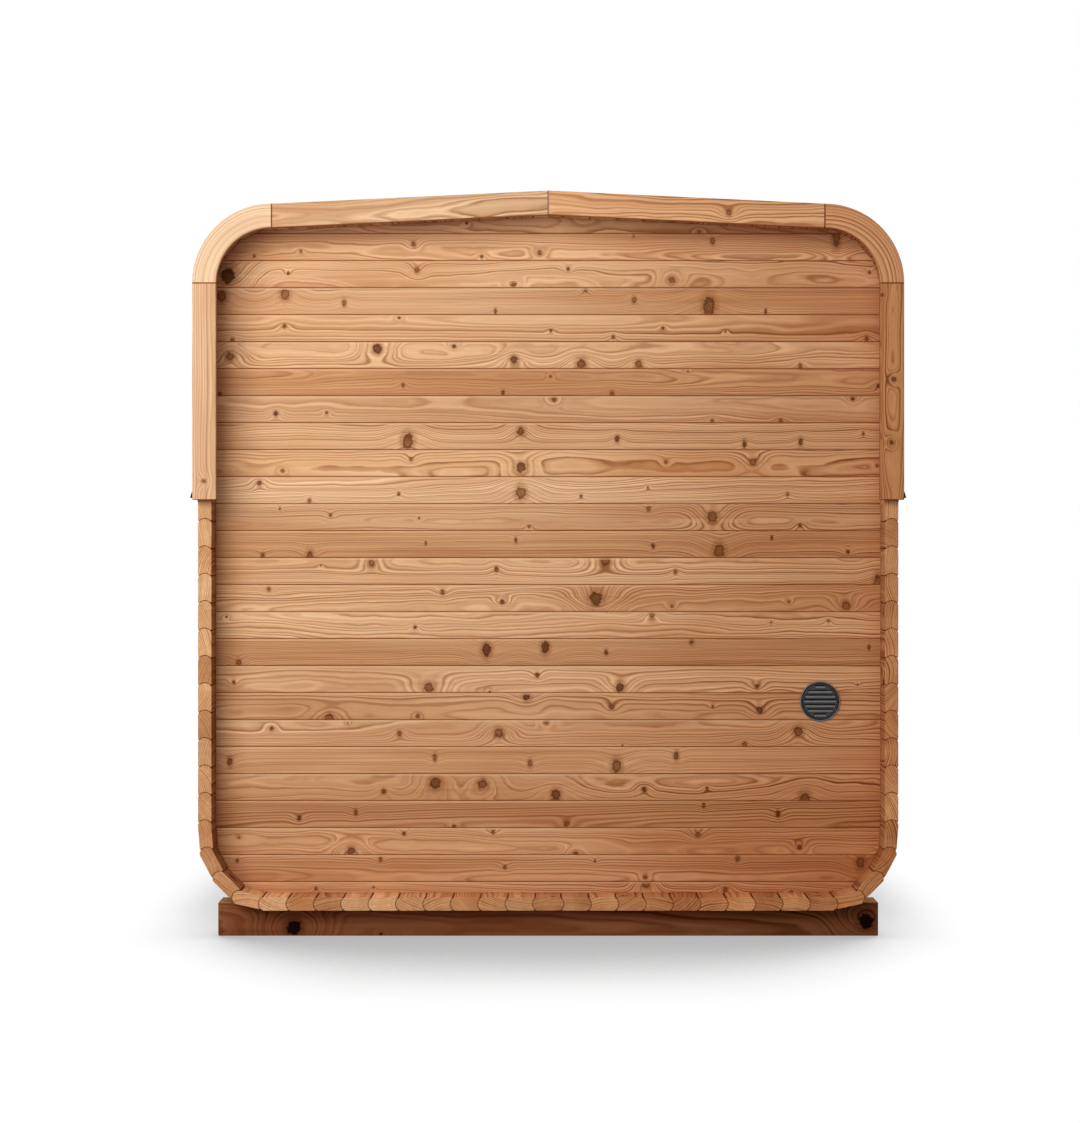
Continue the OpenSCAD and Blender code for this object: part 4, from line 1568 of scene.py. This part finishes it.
# Handle: a round-edged bar on two turned feet
handleCut = {
    "barDepth": 0.026,
    "barRound": 0.008,
    "barBevel": 0.005,
    "footFromEnd": 0.045,
    # radius of a foot, and how far out from the leaf
    "foot": [(0.0155, 0.0), (0.0155, 0.003), (0.013, 0.006), (0.0105, 0.010), (0.0095, 0.018),
             (0.0105, 0.028), (0.0125, 0.036), (0.0125, 0.038)],
}


def makeHandle(dice):
    pile = startPile()
    low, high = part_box("door_handle")
    wood = woodFor(dice, handleWood, low, high, uprightAxes)
    bar = block(low.x, high.x, high.y - handleCut["barDepth"], high.y, handleCut["barRound"])
    addExtrusion(pile, bar, low.z, high.z, handleCut["barBevel"], alongZ, wood, rimSteps=3)
    for z in (low.z + handleCut["footFromEnd"], high.z - handleCut["footFromEnd"]):
        rings = [[(x, low.y + run, y) for x, y in circle(24, radius, (low.x + high.x) / 2, z)]
                 for radius, run in handleCut["foot"]]
        addRings(pile, rings, wood)
    finishPiece(pile, handleWood, "door_handle")


# Hinges: a tapered strap on the leaf, a plate on the post and a knuckled barrel between them
hingeCut = {
    "fromEnds": 0.19,
    "height": 0.034,
    "sheet": (0.0001, 0.003),           # off the leaf, from and to
    "sheetBevel": 0.0008,
    "plateRound": 0.004,
    "pinOut": 0.0015,                   # the pin stands this far beside the leaf
    "pinGap": 0.001,
    "pinHeight": 0.0065,
    "pinRadius": 0.006,
    "knuckles": 3,
    "knuckleGap": 0.0003,
    "knuckleBevel": 0.0006,
    # the strap's upper edge: back from its tip, height, radius
    "strap": [(0, 0, 0.002), (0.006, 0.004, 0.003), (0.022, 0.008, 0.004), (0.05, 0.011, 0.004)],
    "screws": (0.035, 0.11, 0.19, -0.03),
    "screwHead": (0.0045, 0.002),
}


def makeHinges():
    pile = startPile()
    low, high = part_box("door_hinges")
    leafLow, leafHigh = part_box("door_leaf")
    face, tall, knuckles = leafHigh.y, hingeCut["height"], hingeCut["knuckles"]
    sheetLow, sheetHigh = (face + off for off in hingeCut["sheet"])
    pinX = leafLow.x - hingeCut["pinOut"]
    edge = [(high.x - back, up, radius) for back, up, radius in hingeCut["strap"]]
    edge.append((pinX + hingeCut["pinGap"], tall / 2, 0.001))
    strap = [(x, -up, radius) for x, up, radius in edge[:0:-1]] + edge
    plate = block(low.x, pinX - hingeCut["pinGap"], -tall / 2, tall / 2, hingeCut["plateRound"])
    barrel = circle(20, hingeCut["pinRadius"], pinX, face + hingeCut["pinHeight"])
    fromEnds = hingeCut["fromEnds"]
    for z in (leafLow.z + fromEnds, (leafLow.z + leafHigh.z) / 2, leafHigh.z - fromEnds):
        def place(a, b, run):
            return (a, run, z + b)

        for outline in (rounded(strap), plate):
            addExtrusion(pile, outline, sheetLow, sheetHigh, hingeCut["sheetBevel"], place)
        for part in range(knuckles):
            z0 = z - tall / 2 + part * tall / knuckles + hingeCut["knuckleGap"]
            z1 = z0 + tall / knuckles - 2 * hingeCut["knuckleGap"]
            addExtrusion(pile, barrel, z0, z1, hingeCut["knuckleBevel"], alongZ, rimSteps=1)
        for along in hingeCut["screws"]:
            addDome(pile, (pinX + along, sheetHigh, z), (0, 1, 0), *hingeCut["screwHead"])
    finishPiece(pile, hingeMetal, "door_hinges")


def makeDoor():
    dice = random.Random(doorCut["seed"])
    makeDoorFrame(dice)
    makeDoorLeaf(dice)
    makeHandle(dice)
    makeHinges()


makeDoor()
print("door done")

# Camera straight on to the rear, at eye level
cameraLook = {
    "distance": 7.0,        # from the ends of the staves
    "eye": 1.137,
    "lens": 77.8,
    "shift": (-0.0073, -0.0147),
}


def makeCamera():
    camera = addObject("camera", bpy.data.cameras.new("camera"))
    camera.location = (0, -endY - cameraLook["distance"], cameraLook["eye"])
    camera.rotation_euler = (math.pi / 2, 0, 0)
    camera.data.lens = cameraLook["lens"]
    camera.data.shift_x, camera.data.shift_y = cameraLook["shift"]
    camera.data.clip_end = 200
    bpy.context.scene.camera = camera


studio = {
    "lamps": {
        "key": {"at": (-2.15, -3.7, 2.6), "aim": (-0.4, -0.9, 1.7), "size": 2.5, "power": 51, "spread": 130,
                "colour": (1, 1, 1)},
        "fill": {"at": (-0.3, -5.2, 2.4), "aim": (-0.1, -0.9, 1.8), "size": 3.2, "power": 24, "spread": 120,
                 "colour": (1, 0.87, 0.76)},
        "top": {"at": (0, -0.8, 5.2), "aim": (0, 0, 1.0), "size": 4.0, "power": 28, "spread": 180,
                "colour": (1, 0.93, 0.86)},
        "side": {"at": (3.6, 0.9, 2.4), "aim": (1, 0, 0.5), "size": 1.6, "power": 40, "spread": 180,
                 "colour": (1, 0.93, 0.86)},
        "back": {"at": (1.5, 6.0, 3.2), "aim": (0, 0.9, 1.0), "size": 4.0, "power": 150, "spread": 180,
                 "colour": (1, 0.98, 0.95)},
    },
    "sky": 0.18,
    "skyColour": (1, 0.9, 0.81),
    "floorSize": 60,
    "shadowReach": (1.25, 0.4),     # before and beside the object
    "shadowSides": (0.5, 1.3),
    "shadowLean": 1.3,
    # light left on the floor for each share of open sky
    "floorShade": [(0, 0.44), (0.38, 0.47), (0.5, 0.59), (0.66, 0.83), (0.78, 0.94), (0.95, 1)],
    "floorColour": (0.36, 0.36, 0.36),
}


def makeLamps():
    for name, lamp in studio["lamps"].items():
        data = bpy.data.lights.new(name, "AREA")
        data.shape = "SQUARE"
        data.size = lamp["size"]
        data.energy = lamp["power"]
        data.color = lamp["colour"]
        data.spread = math.radians(lamp["spread"])
        item = addObject(name, data)
        item.location = lamp["at"]
        direction = np.array(lamp["aim"]) - np.array(lamp["at"])
        item.rotation_euler = Vector(direction).to_track_quat("-Z", "Y").to_euler()
        item.visible_camera = False


# A warm sky to light the cabin, and a white one to be seen
def makeSky():
    world = bpy.data.worlds.new("studio")
    bpy.context.scene.world = world
    world.use_nodes = True
    world.node_tree.nodes.clear()
    t = nodeTools(world.node_tree)
    seen = t.seenRays()
    t.show("ShaderNodeOutputWorld", t.made("ShaderNodeBackground", {
        "Color": t.mix(seen, (*studio["skyColour"], 1), (1, 1, 1, 1)),
        "Strength": seen * (1 - studio["sky"]) + studio["sky"],
    }))


def makeFloor():
    mesh = bpy.data.meshes.new("floor")
    size = studio["floorSize"]
    corners = [(-size, -size, 0), (size, -size, 0), (size, size, 0), (-size, size, 0)]
    mesh.from_pydata(corners, [], [[0, 1, 2, 3]])
    floor = addObject("floor", mesh)
    material, t = freshMaterial("paleFloor")
    # how much of the sky the object hides, looking towards it, and less far beside it than before it
    x, y, z = t.split(t.made("ShaderNodeNewGeometry", {}, "Position"))
    lean = t.between(t.maths("ABSOLUTE", y), 0.0, 1.0) * studio["shadowLean"]
    towards = t.made("ShaderNodeCombineXYZ", {1: lean * t.maths("SIGN", y * -1.0), 2: 1.0})
    beside = t.between(t.maths("ABSOLUTE", x), *studio["shadowSides"])
    long, short = studio["shadowReach"]
    near = t.openness(long - beside * (long - short), 16, Normal=t.vector("NORMALIZE", towards))
    seen = t.seenRays()
    diffuse = t.made("ShaderNodeBsdfDiffuse", {"Color": t.scaled(studio["floorColour"], 1.0 - seen * 0.9)})
    glow = t.made("ShaderNodeEmission", {"Strength": t.ramp(near, studio["floorShade"]) * seen})
    t.show("ShaderNodeOutputMaterial", t.made("ShaderNodeAddShader", {0: diffuse, 1: glow}))
    mesh.materials.append(material)
    floor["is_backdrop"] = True


makeCamera()
makeLamps()
makeSky()
makeFloor()
bpy.context.scene.view_settings.view_transform = "Standard"
print("camera, lamps and floor done")

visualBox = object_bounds()
